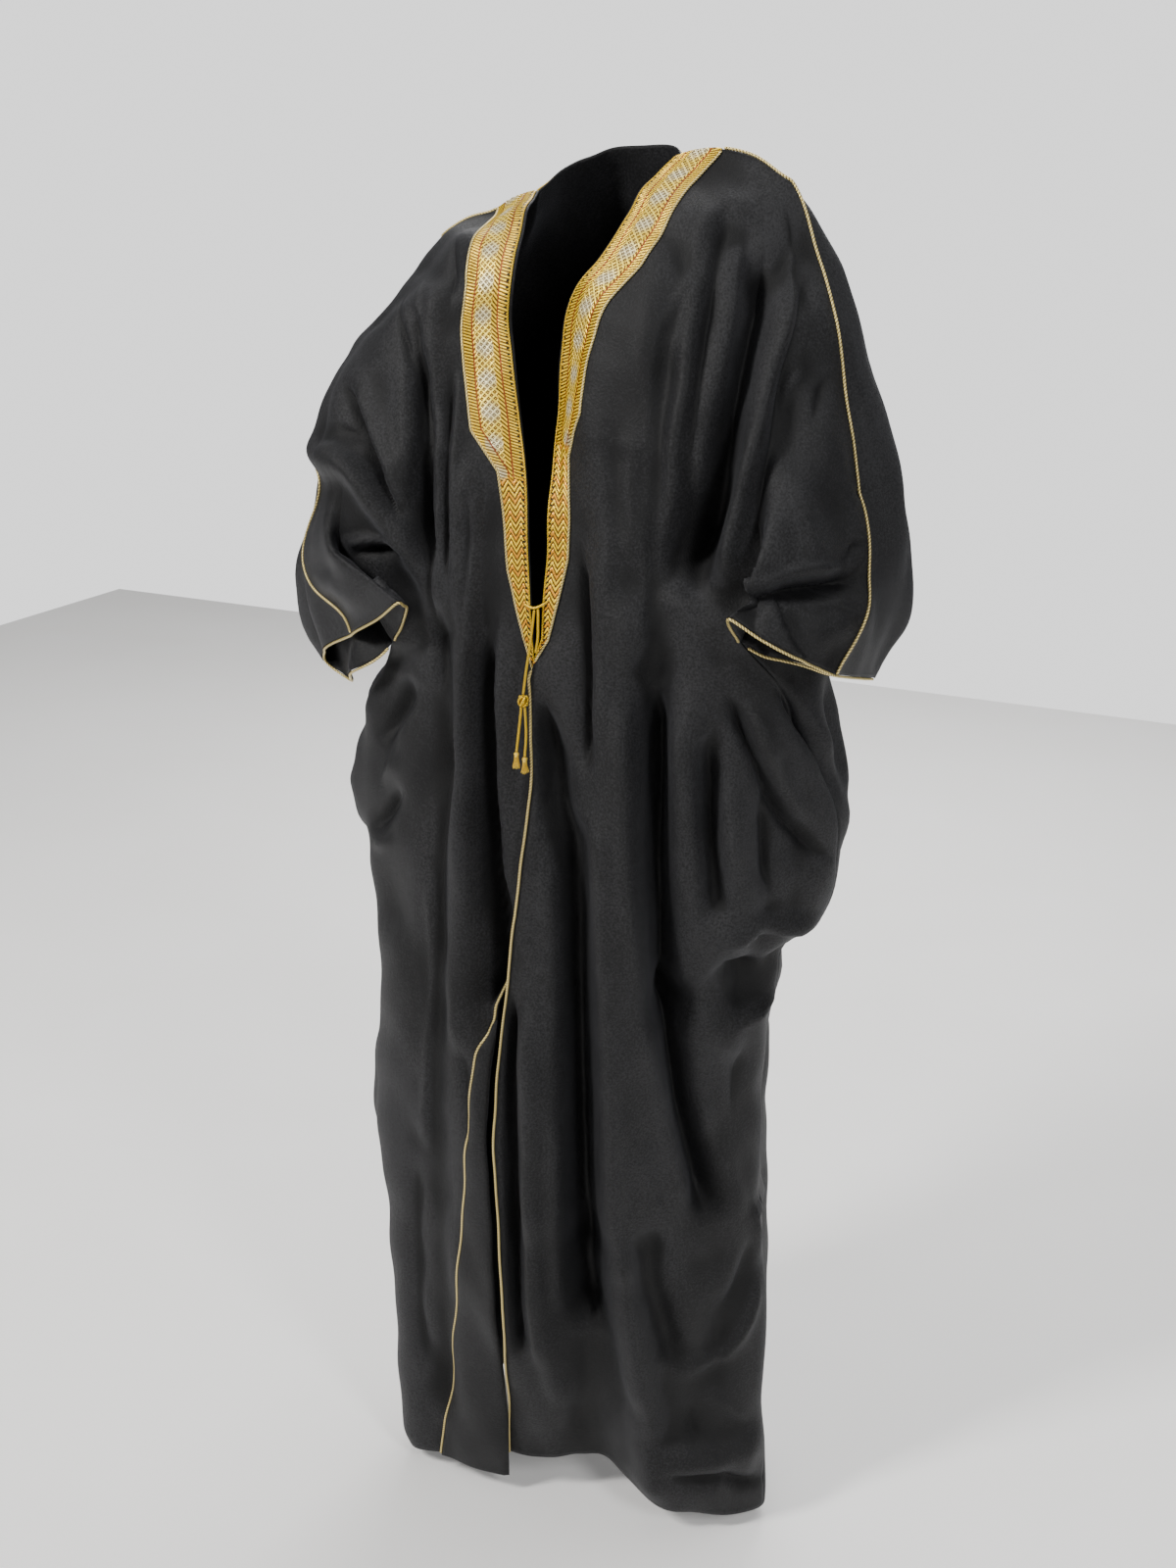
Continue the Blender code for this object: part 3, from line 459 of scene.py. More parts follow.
def tasselHead(bm):
    profile = list(tassel["crown"])
    for ring in range(tassel["windings"]):
        height = -tassel["windingTop"] - tassel["windingPitch"] * ring
        profile += [(tassel["windingRadius"] - tassel["taper"] * ring, height),
                    (tassel["grooveRadius"] - tassel["taper"] * ring, height - tassel["windingHalf"])]
    line = [bm.verts.new((radius, 0.0, height)) for radius, height in profile + tassel["foot"]]
    edges = [bm.edges.new(pair) for pair in zip(line, line[1:])]
    bmesh.ops.spin(bm, geom=line + edges, cent=(0, 0, 0), axis=(0, 0, 1), angle=2 * math.pi,
                   steps=tassel["steps"], use_merge=True)
    bmesh.ops.remove_doubles(bm, verts=bm.verts, dist=tassel["weld"])


def tasselThread(bm, thread, rng):
    # One thread, grown part by part as it bends outwards
    angle = 2 * math.pi * (thread * tassel["turn"] % 1.0)
    least, more = tassel["skirt"]
    out = least + more * math.sqrt((thread + 0.5) / tassel["threads"])
    flare = out * rng.uniform(*tassel["flare"])
    length = tassel["length"] * rng.uniform(*tassel["lengths"]) - tassel["clear"]
    sway = rng.uniform(-tassel["sway"], tassel["sway"], 2)
    head = tassel["head"]
    made = bmesh.ops.create_circle(bm, segments=tassel["threadSides"], radius=tassel["threadRadius"],
                                   cap_ends=True)["verts"]
    bmesh.ops.translate(bm, verts=made, vec=(out * math.cos(angle), out * math.sin(angle), -head))
    base = [face for face in bm.faces if all(vert in made for vert in face.verts)]
    for step in range(1, tassel["threadParts"] + 1):
        grown = bmesh.ops.extrude_face_region(bm, geom=base)["geom"]
        verts = [item for item in grown if isinstance(item, bmesh.types.BMVert)]
        bmesh.ops.delete(bm, geom=base, context="FACES")
        base = [item for item in grown if isinstance(item, bmesh.types.BMFace)]
        share = step / tassel["threadParts"]
        reach = out + (flare - out) * share ** tassel["threadBend"]
        move = Vector((reach * math.cos(angle) + sway[0] * share,
                       reach * math.sin(angle) + sway[1] * share, -head - (length - head) * share))
        middle = sum((vert.co for vert in verts), Vector()) / len(verts)
        bmesh.ops.translate(bm, verts=verts, vec=move - middle)


def makeTassel(name, top, seed):
    # A wound head over a skirt of separate threads
    rng = np.random.default_rng(seed)
    bm = bmesh.new()
    tasselHead(bm)
    for thread in range(tassel["threads"]):
        tasselThread(bm, thread, rng)
    bmesh.ops.recalc_face_normals(bm, faces=bm.faces)
    bmesh.ops.translate(bm, verts=bm.verts, vec=top)
    return toObject(name, bm)


print("tie cords ready")

# Cloth guides: x, y and height above the ground
leftGuides = {
    "shoulder": [
        (0.069, 0, 1.533), (0.112, 0, 1.54), (0.15, 0, 1.534), (0.186, 0, 1.509),
    ],
    "edge": [
        (0.069, -0.004, 1.533), (0.05, -0.028, 1.507), (0.039, -0.061, 1.469), (0.026, -0.083, 1.437),
        (0.004, -0.092, 1.404), (-0.007, -0.098, 1.355), (-0.008, -0.109, 1.285), (-0.002, -0.13, 1.19),
        (-0.003, -0.14, 1.1),
    ],
    "edgeBelow": [
        (-0.003, -0.14, 1.1), (-0.005, -0.144, 0.934), (-0.018, -0.15, 0.84), (-0.036, -0.15, 0.745),
        (-0.046, -0.15, 0.66), (-0.056, -0.15, 0.52), (-0.054, -0.145, 0.4), (-0.05, -0.14, 0.3),
        (-0.058, -0.12, 0.18), (-0.071, -0.09, 0.055),
    ],
    "arm": [
        (0.186, 0, 1.509), (0.214, -0.004, 1.462), (0.238, -0.012, 1.395), (0.26, -0.022, 1.32),
        (0.283, -0.034, 1.245), (0.3, -0.044, 1.178), (0.302, -0.062, 1.125), (0.288, -0.1, 1.066),
    ],
    "side": [
        (0.2, -0.118, 1.09), (0.236, -0.062, 1.02), (0.256, -0.015, 0.93), (0.262, 0.01, 0.84),
        (0.243, 0.02, 0.76), (0.206, 0.02, 0.7), (0.195, 0.02, 0.6), (0.195, 0.02, 0.45),
        (0.205, 0.02, 0.27), (0.205, 0.01, 0.14), (0.215, 0, 0.015),
    ],
    "cuffFront": [
        (0.2, -0.118, 1.09), (0.203, -0.172, 1.129), (0.244, -0.145, 1.098), (0.288, -0.1, 1.066),
    ],
    "cuffBack": [
        (0.2, -0.118, 1.09), (0.235, -0.11, 1.08), (0.268, -0.062, 1.056), (0.292, 0.015, 1.035),
        (0.288, -0.1, 1.066),
    ],
}
rightGuides = {
    "shoulder": [
        (-0.078, 0, 1.497), (-0.12, 0, 1.482), (-0.16, 0, 1.47), (-0.2, 0, 1.447),
    ],
    "edge": [
        (-0.078, -0.004, 1.497), (-0.066, -0.05, 1.478), (-0.06, -0.073, 1.455),
        (-0.055, -0.098, 1.412), (-0.059, -0.096, 1.38), (-0.053, -0.101, 1.345),
        (-0.042, -0.111, 1.289), (-0.026, -0.127, 1.225), (-0.018, -0.138, 1.133),
        (-0.014, -0.14, 1.085),
    ],
    "edgeBelow": [
        (-0.014, -0.14, 1.085), (-0.014, -0.144, 0.934), (-0.027, -0.15, 0.84), (-0.045, -0.15, 0.745),
        (-0.055, -0.15, 0.66), (-0.065, -0.15, 0.52), (-0.063, -0.145, 0.4), (-0.06, -0.14, 0.3),
        (-0.07, -0.122, 0.18), (-0.083, -0.1, 0.03),
    ],
    "arm": [
        (-0.2, 0, 1.447), (-0.256, -0.005, 1.366), (-0.292, -0.012, 1.325), (-0.318, -0.022, 1.285),
        (-0.332, -0.035, 1.235), (-0.316, -0.05, 1.196), (-0.33, -0.06, 1.115), (-0.24, -0.12, 1.05),
    ],
    "side": [
        (-0.19, -0.115, 1.045), (-0.226, -0.072, 1.006), (-0.268, -0.036, 0.962), (-0.294, -0.01, 0.9),
        (-0.296, 0, 0.8), (-0.278, 0, 0.73), (-0.268, 0, 0.62), (-0.286, 0, 0.45), (-0.262, 0, 0.36),
        (-0.266, 0, 0.2), (-0.252, 0, 0.11), (-0.228, -0.02, 0.01),
    ],
    "cuffFront": [
        (-0.19, -0.115, 1.045), (-0.15, -0.175, 1.1), (-0.195, -0.15, 1.075), (-0.24, -0.12, 1.05),
    ],
    "cuffBack": [
        (-0.19, -0.115, 1.045), (-0.222, -0.118, 1.014), (-0.27, -0.078, 0.988),
        (-0.322, -0.018, 0.972), (-0.344, -0.018, 0.982), (-0.318, -0.05, 1.008), (-0.24, -0.12, 1.05),
    ],
}
spine = [
    (-0.004, 0.075, 1.543), (-0.004, 0.095, 1.5), (-0.006, 0.122, 1.42), (-0.01, 0.136, 1.33),
    (-0.01, 0.14, 1.22), (-0.01, 0.14, 1.08),
]
spineBelow = [
    (-0.01, 0.14, 1.08), (-0.015, 0.142, 0.9), (-0.02, 0.146, 0.7), (-0.022, 0.152, 0.45),
    (-0.022, 0.158, 0.22), (-0.02, 0.162, 0.02),
]
# Share of the way down the band's edge, and the band's width there
bandWidths = [
    (0, 0.05), (0.15, 0.052), (0.45, 0.052), (0.58, 0.05), (0.67, 0.028), (0.88, 0.024), (1, 0.013),
]
# Share of the way down, then how far rows bulge and turn at the front edge, and at the arm or side
# in front and behind, and how flat they leave the spine
fullnessAbove = [
    (0, 0.06, 0, 0.02, 15, 0.04, 15, 0.08), (0.2, 0.11, 8, 0.06, 20, 0.095, 26, 0.13),
    (0.4, 0.14, 24, 0.09, 22, 0.125, 32, 0.16), (0.62, 0.15, 24, 0.11, 22, 0.145, 36, 0.175),
    (0.8, 0.16, 6, 0.12, 20, 0.145, 32, 0.18), (1, 0.12, 0, 0.06, 15, 0.135, 22, 0.17),
]
fullnessBelow = [
    (0, 0.1, 0, 0.06, 84, 0.16, 34, 0.17), (0.06, 0.115, 0, 0.07, 34, 0.15, 26, 0.17),
    (0.13, 0.125, 0, 0.085, 10, 0.125, 14, 0.17), (0.25, 0.13, 0, 0.09, 6, 0.095, 8, 0.17),
    (0.5, 0.12, 0, 0.09, 3, 0.08, 3, 0.15), (1, 0.12, 0, 0.07, 0, 0.09, 0, 0.15),
]
# Share of the way down below the band, and the width kept for the turned edge, right and left
edgeColumns = [
    (0, 0.013, 0.013), (0.42, 0.014, 0.024), (0.52, 0.018, 0.03), (0.62, 0.03, 0.04),
    (0.72, 0.048, 0.048), (0.82, 0.062, 0.056), (1, 0.078, 0.06),
]
# Side that a fold faces, place and height of both ends, width, and depths at both ends
folds = [
    ("front", 0.119, 1.46, 0.104, 1.12, 0.017, -0.01, -0.014),
    ("front", 0.05, 1.36, 0.084, 1.06, 0.028, 0.006, 0.008),
    ("front", 0.155, 1.49, 0.158, 1.22, 0.02, 0.008, 0.01),
    ("front", 0.205, 1.45, 0.152, 1.14, 0.016, -0.01, -0.024),
    ("front", 0.236, 1.36, 0.21, 1.18, 0.016, -0.006, -0.009),
    ("front", 0.17, 1.13, 0.3, 1.158, 0.019, -0.013, -0.009),
    ("front", 0.225, 1.092, 0.3, 1.115, 0.018, 0.005, 0.005),
    ("front", 0.083, 1.08, 0.083, 0.36, 0.022, 0.008, 0.012),
    ("front", 0.08, 0.38, 0.106, 0.05, 0.024, 0.012, 0.018),
    ("front", 0.02, 0.98, 0.05, 0.36, 0.02, -0.008, -0.018),
    ("front", 0.046, 0.4, 0.036, -0.1, 0.045, -0.014, -0.052),
    ("front", 0.113, 1.07, 0.128, 0.66, 0.022, -0.018, -0.024),
    ("front", 0.128, 0.7, 0.162, 0.34, 0.022, -0.022, -0.01),
    ("front", 0.146, 1.02, 0.152, 0.62, 0.017, 0.009, 0.01),
    ("front", 0.168, 1, 0.17, 0.78, 0.016, -0.008, -0.006),
    ("front", 0.19, 0.99, 0.19, 0.77, 0.018, 0.008, 0.01),
    ("front", 0.19, 1, 0.248, 0.84, 0.022, -0.006, -0.012),
    ("front", 0.15, 0.715, 0.2, 0.69, 0.032, -0.012, -0.018),
    ("front", 0.2, 0.65, 0.165, 0.62, 0.028, 0.008, 0.005),
    ("front", -0.012, 0.66, -0.012, 0.4, 0.016, 0.007, 0.007),
    ("front", -0.012, 0.44, 0, 0.16, 0.014, 0.008, 0.01),
    ("front", 0.204, 0.34, 0.165, 0.2, 0.016, -0.006, -0.01),
    ("front", 0.165, 0.12, 0.165, 0.02, 0.048, 0.03, 0.004),
    ("front", -0.14, 1.4, -0.131, 1.02, 0.013, 0.008, 0.01),
    ("front", -0.086, 1.24, -0.1, 0.62, 0.014, 0.01, 0.012),
    ("front", -0.152, 1.38, -0.122, 1.02, 0.011, -0.01, -0.014),
    ("front", -0.066, 1.1, -0.066, 0.62, 0.012, -0.008, -0.012),
    ("front", -0.12, 0.95, -0.15, 0.1, 0.02, -0.006, -0.014),
    ("front", -0.19, 0.72, -0.205, 0.02, 0.026, 0.006, 0.014),
    ("front", -0.326, 1.225, -0.205, 1.236, 0.016, 0.008, 0.012),
    ("front", -0.205, 1.236, -0.13, 1.11, 0.016, 0.012, 0.008),
    ("front", -0.3, 1.096, -0.2, 1.098, 0.016, 0.006, 0.005),
    ("left", 0.01, 1.02, 0.06, 0.8, 0.018, -0.01, -0.016),
    ("left", 0.07, 1.1, 0.03, 0.86, 0.022, 0.008, 0.014),
    ("left", -0.02, 0.735, 0.09, 0.7, 0.022, -0.016, -0.012),
    ("left", 0.05, 0.62, 0.05, -0.1, 0.022, -0.012, -0.016),
    ("left", 0.105, 0.6, 0.11, -0.1, 0.022, 0.006, 0.012),
    ("right", -0.06, 0.95, 0.04, 0.86, 0.016, -0.014, -0.01),
    ("right", -0.04, 0.86, 0.07, 0.8, 0.016, 0.012, 0.008),
    ("right", -0.07, 0.8, 0.05, 0.745, 0.016, -0.014, -0.012),
    ("right", 0.06, 0.64, 0.05, -0.1, 0.022, -0.01, -0.018),
    ("right", -0.03, 0.6, -0.04, -0.1, 0.02, -0.006, -0.012),
    ("back", -0.235, 1.05, -0.215, -0.1, 0.018, -0.01, -0.024),
    ("back", -0.17, 1.22, -0.165, -0.1, 0.02, 0.006, 0.018),
    ("back", -0.115, 1.3, -0.12, -0.1, 0.017, -0.008, -0.026),
    ("back", -0.06, 1.2, -0.07, -0.1, 0.02, 0.004, 0.014),
    ("back", -0.018, 1.25, -0.012, -0.1, 0.016, -0.006, -0.02),
    ("back", 0.04, 1.1, 0.04, -0.1, 0.02, 0.004, 0.014),
    ("back", 0.085, 1.32, 0.092, -0.1, 0.017, -0.008, -0.028),
    ("back", 0.135, 1.2, 0.14, -0.1, 0.019, 0.006, 0.018),
    ("back", 0.19, 1.1, 0.175, -0.1, 0.018, -0.01, -0.022),
    ("back", 0.15, 1.46, 0.245, 1.16, 0.02, -0.008, -0.012),
    ("back", -0.17, 1.42, -0.285, 1.14, 0.02, -0.008, -0.012),
    ("back", 0.12, 1.4, 0.18, 1.16, 0.024, 0.006, 0.01),
    ("back", -0.13, 1.38, -0.215, 1.14, 0.024, 0.006, 0.01),
]

# Widths either side, depths at both ends and the route downwards, in millimetres
creases = [
    (34, 9, 8, 14, [(132, -36, 1498), (124, -63, 1463), (123, -88, 1420), (106, -109, 1381),
     (100, -121, 1341), (104, -131, 1260), (101, -127, 1174), (104, -138, 1099), (99, -132, 1048)]),
    (14, 30, -24, -32, [(146, -34, 1499), (153, -79, 1447), (155, -112, 1388), (154, -129, 1327),
     (149, -139, 1282), (146, -135, 1227), (135, -129, 1178), (131, -130, 1120)]),
    (18, 9, 10, 8, [(157, -44, 1486), (172, -88, 1413), (172, -107, 1352), (171, -117, 1290),
     (164, -128, 1255), (149, -130, 1217)]),
    (24, 7, -24, -38, [(183, -42, 1464), (192, -63, 1395), (193, -89, 1338), (188, -109, 1290),
     (183, -124, 1237), (170, -118, 1188), (159, -117, 1140)]),
    (5, 24, 11, 18, [(200, -36, 1433), (201, -64, 1386), (199, -86, 1343), (194, -102, 1308),
     (188, -118, 1260), (183, -122, 1218), (168, -117, 1169), (162, -118, 1135)]),
    (6, 5, 5, 5, [(201, -16, 1473), (208, -43, 1412), (210, -68, 1369), (210, -82, 1339)]),
    (9, 10, -10, -13, [(219, -14, 1437), (219, -48, 1395), (218, -65, 1364), (217, -75, 1338),
     (216, -94, 1300), (215, -114, 1257), (209, -119, 1220), (199, -124, 1188)]),
    (9, 5, 5, 4, [(232, -49, 1348), (223, -70, 1332), (221, -83, 1308)]),
    (5, 6, -6, -4, [(249, -27, 1345), (245, -47, 1324), (244, -63, 1302), (238, -79, 1286)]),
    (5, 6, -4, -4, [(187, -12, 1494), (200, -21, 1464), (208, -28, 1438)]),
    (10, 9, -20, -26, [(300, -50, 1165), (290, -68, 1149), (268, -99, 1148), (246, -133, 1149),
     (225, -153, 1143), (179, -118, 1122)]),
    (4, 18, 11, 8, [(298, -47, 1182), (284, -71, 1165), (254, -125, 1169), (229, -153, 1157),
     (183, -115, 1131)]),
    (8, 5, 7, 7, [(301, -54, 1149), (282, -90, 1134), (247, -134, 1136), (217, -158, 1139)]),
    (9, 6, -14, -18, [(31, -136, 1183), (43, -141, 1142), (49, -143, 1084), (51, -143, 1034),
     (50, -144, 974), (46, -142, 931)]),
    (4, 16, 6, 8, [(51, -141, 1172), (55, -144, 1085), (57, -144, 954)]),
    (12, 12, -8, -11, [(69, -136, 1304), (75, -141, 1250), (82, -140, 1175), (91, -143, 1099)]),
    (4, 4, -6, -4, [(299, -42, 1187), (290, -62, 1184), (284, -72, 1170)]),
    (4, 4, -4, -4, [(293, -25, 1231), (284, -46, 1229)]),
    (20, 9, 10, 12, [(98, -135, 1038), (99, -128, 883), (104, -114, 760), (109, -91, 639),
     (125, -76, 530), (139, -62, 466), (152, -50, 427)]),
    (18, 15, -30, -34, [(114, -128, 1039), (113, -117, 881), (112, -98, 755), (117, -77, 635),
     (133, -66, 539), (148, -53, 470), (166, -41, 407)]),
    (7, 12, 10, 10, [(138, -125, 1026), (131, -120, 937), (126, -107, 827), (121, -78, 704),
     (127, -69, 633), (139, -60, 562), (155, -49, 488)]),
    (20, 18, -24, -38, [(28, -139, 906), (34, -140, 822), (35, -132, 709), (36, -127, 592),
     (37, -124, 472), (36, -111, 354), (42, -98, 258)]),
    (6, 18, 10, 12, [(55, -144, 912), (58, -144, 828), (61, -136, 716), (62, -129, 599), (64, -123, 478),
     (68, -114, 352), (88, -106, 225), (104, -99, 160)]),
    (13, 6, 8, 10, [(13, -144, 863), (17, -141, 765), (18, -137, 651), (19, -137, 534), (15, -133, 410),
     (11, -121, 275)]),
    (12, 7, -16, -24, [(-36, -152, 691), (-35, -152, 588), (-35, -150, 467), (-35, -143, 339),
     (-37, -126, 212)]),
    (5, 16, 8, 10, [(-21, -151, 694), (-21, -154, 592), (-19, -154, 473), (-17, -144, 345),
     (-16, -121, 202)]),
    (16, 12, -24, -24, [(5, -143, 1028), (11, -140, 967), (18, -141, 905), (25, -140, 853)]),
    (14, 9, -22, -18, [(169, -122, 999), (173, -114, 942), (177, -108, 878), (180, -98, 822),
     (184, -81, 774)]),
    (5, 16, 9, 12, [(184, -112, 968), (183, -106, 889), (184, -97, 828)]),
    (6, 7, -17, -12, [(182, -116, 1044), (197, -106, 1004), (210, -91, 961), (216, -73, 924),
     (230, -51, 888), (250, -22, 857), (261, 7, 835)]),
    (5, 13, 9, 7, [(193, -109, 1039), (209, -96, 998), (222, -78, 954), (234, -55, 913), (252, -24, 876)]),
    (6, 7, -16, -12, [(222, -87, 1050), (233, -67, 1019), (247, -40, 983), (255, -18, 947), (262, 6, 899)]),
    (5, 10, 9, 7, [(229, -73, 1050), (242, -50, 1013), (252, -19, 976), (259, 4, 930)]),
    (12, 7, -13, -16, [(211, -83, 939), (215, -73, 884), (217, -69, 840), (222, -56, 804)]),
    (16, 5, 12, 12, [(243, 30, 760), (234, -10, 761), (223, -39, 768), (207, -64, 774), (190, -75, 764),
     (176, -87, 767), (164, -104, 800)]),
    (7, 20, -20, -20, [(196, -5, 711), (180, -53, 729), (166, -80, 739)]),
    (6, 9, 9, 7, [(199, 36, 670), (188, -23, 657), (167, -55, 640)]),
    (9, 7, 5, 7, [(154, -92, 744), (147, -76, 698), (157, -67, 656), (169, -51, 635)]),
    (8, 8, -6, -5, [(186, -29, 628), (180, -32, 582), (177, -31, 521)]),
    (10, 18, 11, 10, [(83, -122, 422), (90, -115, 321), (102, -104, 241), (113, -96, 174),
     (119, -94, 108)]),
    (14, 22, -17, -18, [(100, -113, 428), (110, -101, 331), (129, -85, 257), (150, -68, 227)]),
    (5, 12, 6, -5, [(92, -118, 440), (110, -105, 447), (127, -81, 449)]),
    (10, 10, 10, 8, [(200, 12, 330), (194, -11, 270), (176, -35, 234), (149, -69, 224), (127, -86, 235)]),
    (9, 16, -9, -7, [(196, -1, 387), (185, -24, 320), (169, -50, 280)]),
    (6, 8, 6, 4, [(166, -54, 196), (188, -38, 160), (205, -16, 138)]),
    (7, 9, -16, -14, [(212, 10, 45), (192, -57, 80), (154, -82, 83), (120, -94, 91)]),
    (8, 8, 8, 6, [(165, 112, 410), (195, 4, 396), (200, 12, 332)]),
    (8, 8, -6, -6, [(146, -70, 181), (162, -68, 118)]),
    (17, 7, -17, -30, [(-145, -117, 1365), (-138, -134, 1309), (-128, -145, 1263), (-135, -143, 1194),
     (-129, -140, 1144), (-126, -139, 1124)]),
    (4, 16, 8, 11, [(-124, -135, 1301), (-116, -147, 1216), (-123, -139, 1124), (-129, -126, 1060)]),
    (12, 5, 7, 7, [(-157, -115, 1354), (-149, -138, 1271), (-147, -146, 1213), (-141, -144, 1164)]),
    (4, 4, -7, -7, [(-193, -77, 1398), (-167, -117, 1354), (-151, -127, 1313)]),
    (5, 5, 6, 5, [(-169, -75, 1418), (-145, -117, 1365), (-134, -132, 1329)]),
    (8, 6, -9, -12, [(-112, -122, 1343), (-108, -138, 1274), (-106, -146, 1197), (-110, -141, 1116)]),
    (4, 7, 8, 8, [(-105, -121, 1339), (-101, -140, 1265), (-100, -147, 1198), (-103, -144, 1117)]),
    (5, 6, -5, -5, [(-81, -145, 1238), (-82, -148, 1160), (-89, -145, 1079)]),
    (4, 12, 6, 6, [(-74, -142, 1233), (-77, -147, 1161), (-83, -143, 1069), (-91, -142, 1016)]),
    (14, 10, -26, -28, [(-70, -134, 1078), (-73, -136, 975), (-68, -143, 860), (-64, -148, 752),
     (-65, -142, 646)]),
    (16, 5, 9, 9, [(-81, -141, 1069), (-85, -141, 964), (-78, -149, 860), (-73, -152, 752),
     (-75, -146, 669)]),
    (4, 9, 6, 6, [(-57, -136, 1070), (-52, -142, 969), (-51, -144, 863), (-51, -149, 777)]),
    (5, 5, -5, -5, [(-144, -44, 1455), (-123, -97, 1421), (-121, -116, 1375)]),
    (5, 6, 4, 4, [(-115, -61, 1457), (-105, -100, 1422), (-110, -108, 1403)]),
    (8, 10, -6, -6, [(-122, -134, 1010), (-118, -138, 905), (-124, -136, 793), (-124, -140, 680)]),
    (8, 6, 6, 6, [(-136, -135, 813), (-138, -134, 698), (-144, -135, 579), (-153, -132, 453)]),
    (10, 10, -8, -10, [(-167, -133, 450), (-178, -124, 340), (-183, -116, 228), (-177, -106, 141)]),
    (5, 6, -6, -6, [(-95, -155, 622), (-88, -150, 551), (-85, -150, 479)]),
    (24, 5, 12, 12, [(-286, -107, 1237), (-241, -132, 1246), (-221, -149, 1237), (-197, -156, 1217),
     (-178, -154, 1198), (-163, -151, 1181), (-146, -147, 1152), (-130, -139, 1124)]),
    (5, 10, -16, -14, [(-231, -136, 1249), (-207, -149, 1241), (-188, -153, 1227), (-171, -152, 1204),
     (-156, -148, 1183), (-140, -145, 1154)]),
    (7, 5, -13, -10, [(-254, -96, 1313), (-230, -120, 1295), (-210, -135, 1266), (-185, -150, 1233),
     (-174, -153, 1204)]),
    (4, 16, 11, 11, [(-241, -103, 1320), (-219, -122, 1302), (-197, -137, 1270), (-173, -149, 1235),
     (-164, -150, 1201), (-150, -147, 1166), (-138, -145, 1138), (-134, -141, 1120)]),
    (5, 5, -5, -5, [(-248, -120, 1267), (-219, -136, 1259), (-204, -141, 1257)]),
    (7, 6, -20, -16, [(-149, -146, 1143), (-176, -142, 1149), (-204, -138, 1146), (-232, -136, 1138)]),
    (4, 12, 10, 8, [(-146, -147, 1154), (-174, -146, 1160), (-207, -140, 1157), (-236, -136, 1150),
     (-256, -130, 1145)]),
    (4, 4, 4, 4, [(-247, -130, 1149), (-220, -135, 1153), (-178, -145, 1163)]),
    (5, 5, -2.4, -1, [(-4, -144, 937), (7, -141, 934), (18, -138, 937)]),
    (5, 5, -3.2, -1, [(-5, -146, 912), (6, -143, 909), (21, -140, 913)]),
    (5, 5, -2.4, -1, [(-7, -148, 886), (4, -145, 884), (22, -140, 888)]),
    (5, 5, -3.2, -1, [(-9, -150, 861), (3, -148, 859), (13, -144, 862)]),
    (5, 5, -2.4, -1, [(-12, -151, 835), (0, -149, 833), (14, -143, 836)]),
    (5, 5, -3.2, -1, [(-16, -152, 809), (-4, -150, 807), (14, -143, 810)]),
    (5, 5, -2.4, -1, [(-19, -152, 782), (-7, -150, 780), (3, -147, 783)]),
    (5, 5, -3.2, -1, [(-23, -151, 754), (-11, -150, 753), (4, -146, 756)]),
    (13, 17, -25, -21, [(-156, -126, 1019), (-184, -118, 985), (-209, -108, 951), (-230, -96, 920)]),
    (10, 10, 4, 8, [(-224, -100, 880), (-204, -111, 899), (-179, -122, 926)]),
    (9, 12, -20, -16, [(-178, -122, 894), (-197, -115, 869), (-218, -106, 844), (-243, -89, 818)]),
    (8, 8, 6, 6, [(-236, -93, 800), (-214, -108, 814), (-192, -119, 831)]),
]

cloth = {
    "shoulderHeight": 1.50, "wall": 0.0016, "weld": 0.000001,
    "frontDetail": (7, 7, 10), "backDetail": (5, 7, 5),  # columns, upper rows and lower rows
    "upperRows": 19, "lowerRows": 21, "frontColumns": 25, "backColumns": 23, "bodyShare": 0.60,
    "neckColumns": 10, "bandColumns": 3, "splitStart": 0.34, "splitSharpness": 1.6, "topReach": 0.30,
    "bowSteps": 60, "foldFade": 0.05, "foldSmoothing": 4, "lean": 0.45, "fadeShare": 0.45,
    "facing": {  # axis and sign that a fold's side faces, and the least lean of cloth that it reaches
        "front": (1, -1, 0.05), "back": (1, 1, 0.05), "left": (0, 1, 0.15), "right": (0, -1, 0.15),
    },
    "creaseStep": 0.004, "creaseFade": 0.05, "creaseLoose": 0.012, "creaseSharp": (0.68, 1.3),
    "creaseBroad": (0.0095, 0.0145), "creaseReach": 0.0026, "creaseCrown": 0.01,
    "rippleSeed": 5, "ripples": 26, "rippleSize": (0.03, 0.11), "rippleDeep": 0.0011,
    "rippleWay": (1.0, 1.0, 0.35), "rippleBend": (4.0, 11.0), "rippleSwing": (0.2, 0.9),
    "shadeHollowOffset": 0.12, "shadeFront": 0.5, "shadeBack": 0.17, "shadeHollows": [(9, 0.0062), (3, 0.0024)],
    "edgeFlat": 0.014, "meetReach": 0.05,
    "meet": {  # height, then how far the edge moves left and back
        "frontLeft": [
            (0.66, 0, 0), (0.7, 0.003, -0.0044), (0.78, 0.004, -0.0044), (0.86, -0.002, -0.0044),
            (0.9, -0.006, -0.0044), (0.97, -0.011, -0.0044), (1.035, -0.012, -0.0044), (1.075, 0, 0),
        ],
        "frontRight": [
            (0, 0.016, 0.004), (0.08, 0.014, 0.004), (0.17, 0.008, 0.003), (0.28, 0, 0),
            (0.665, 0, 0), (0.71, 0.014, 0.0045), (0.78, 0.016, 0.0045), (0.86, 0.01, 0.0045),
            (0.9, 0.006, 0.0045), (0.97, 0.002, 0.0045), (1.035, 0.001, 0.0045), (1.075, 0, 0),
        ],
    },
}
bandFine = cloth["frontDetail"][0] * cloth["bandColumns"]  # fine columns of a front under its band


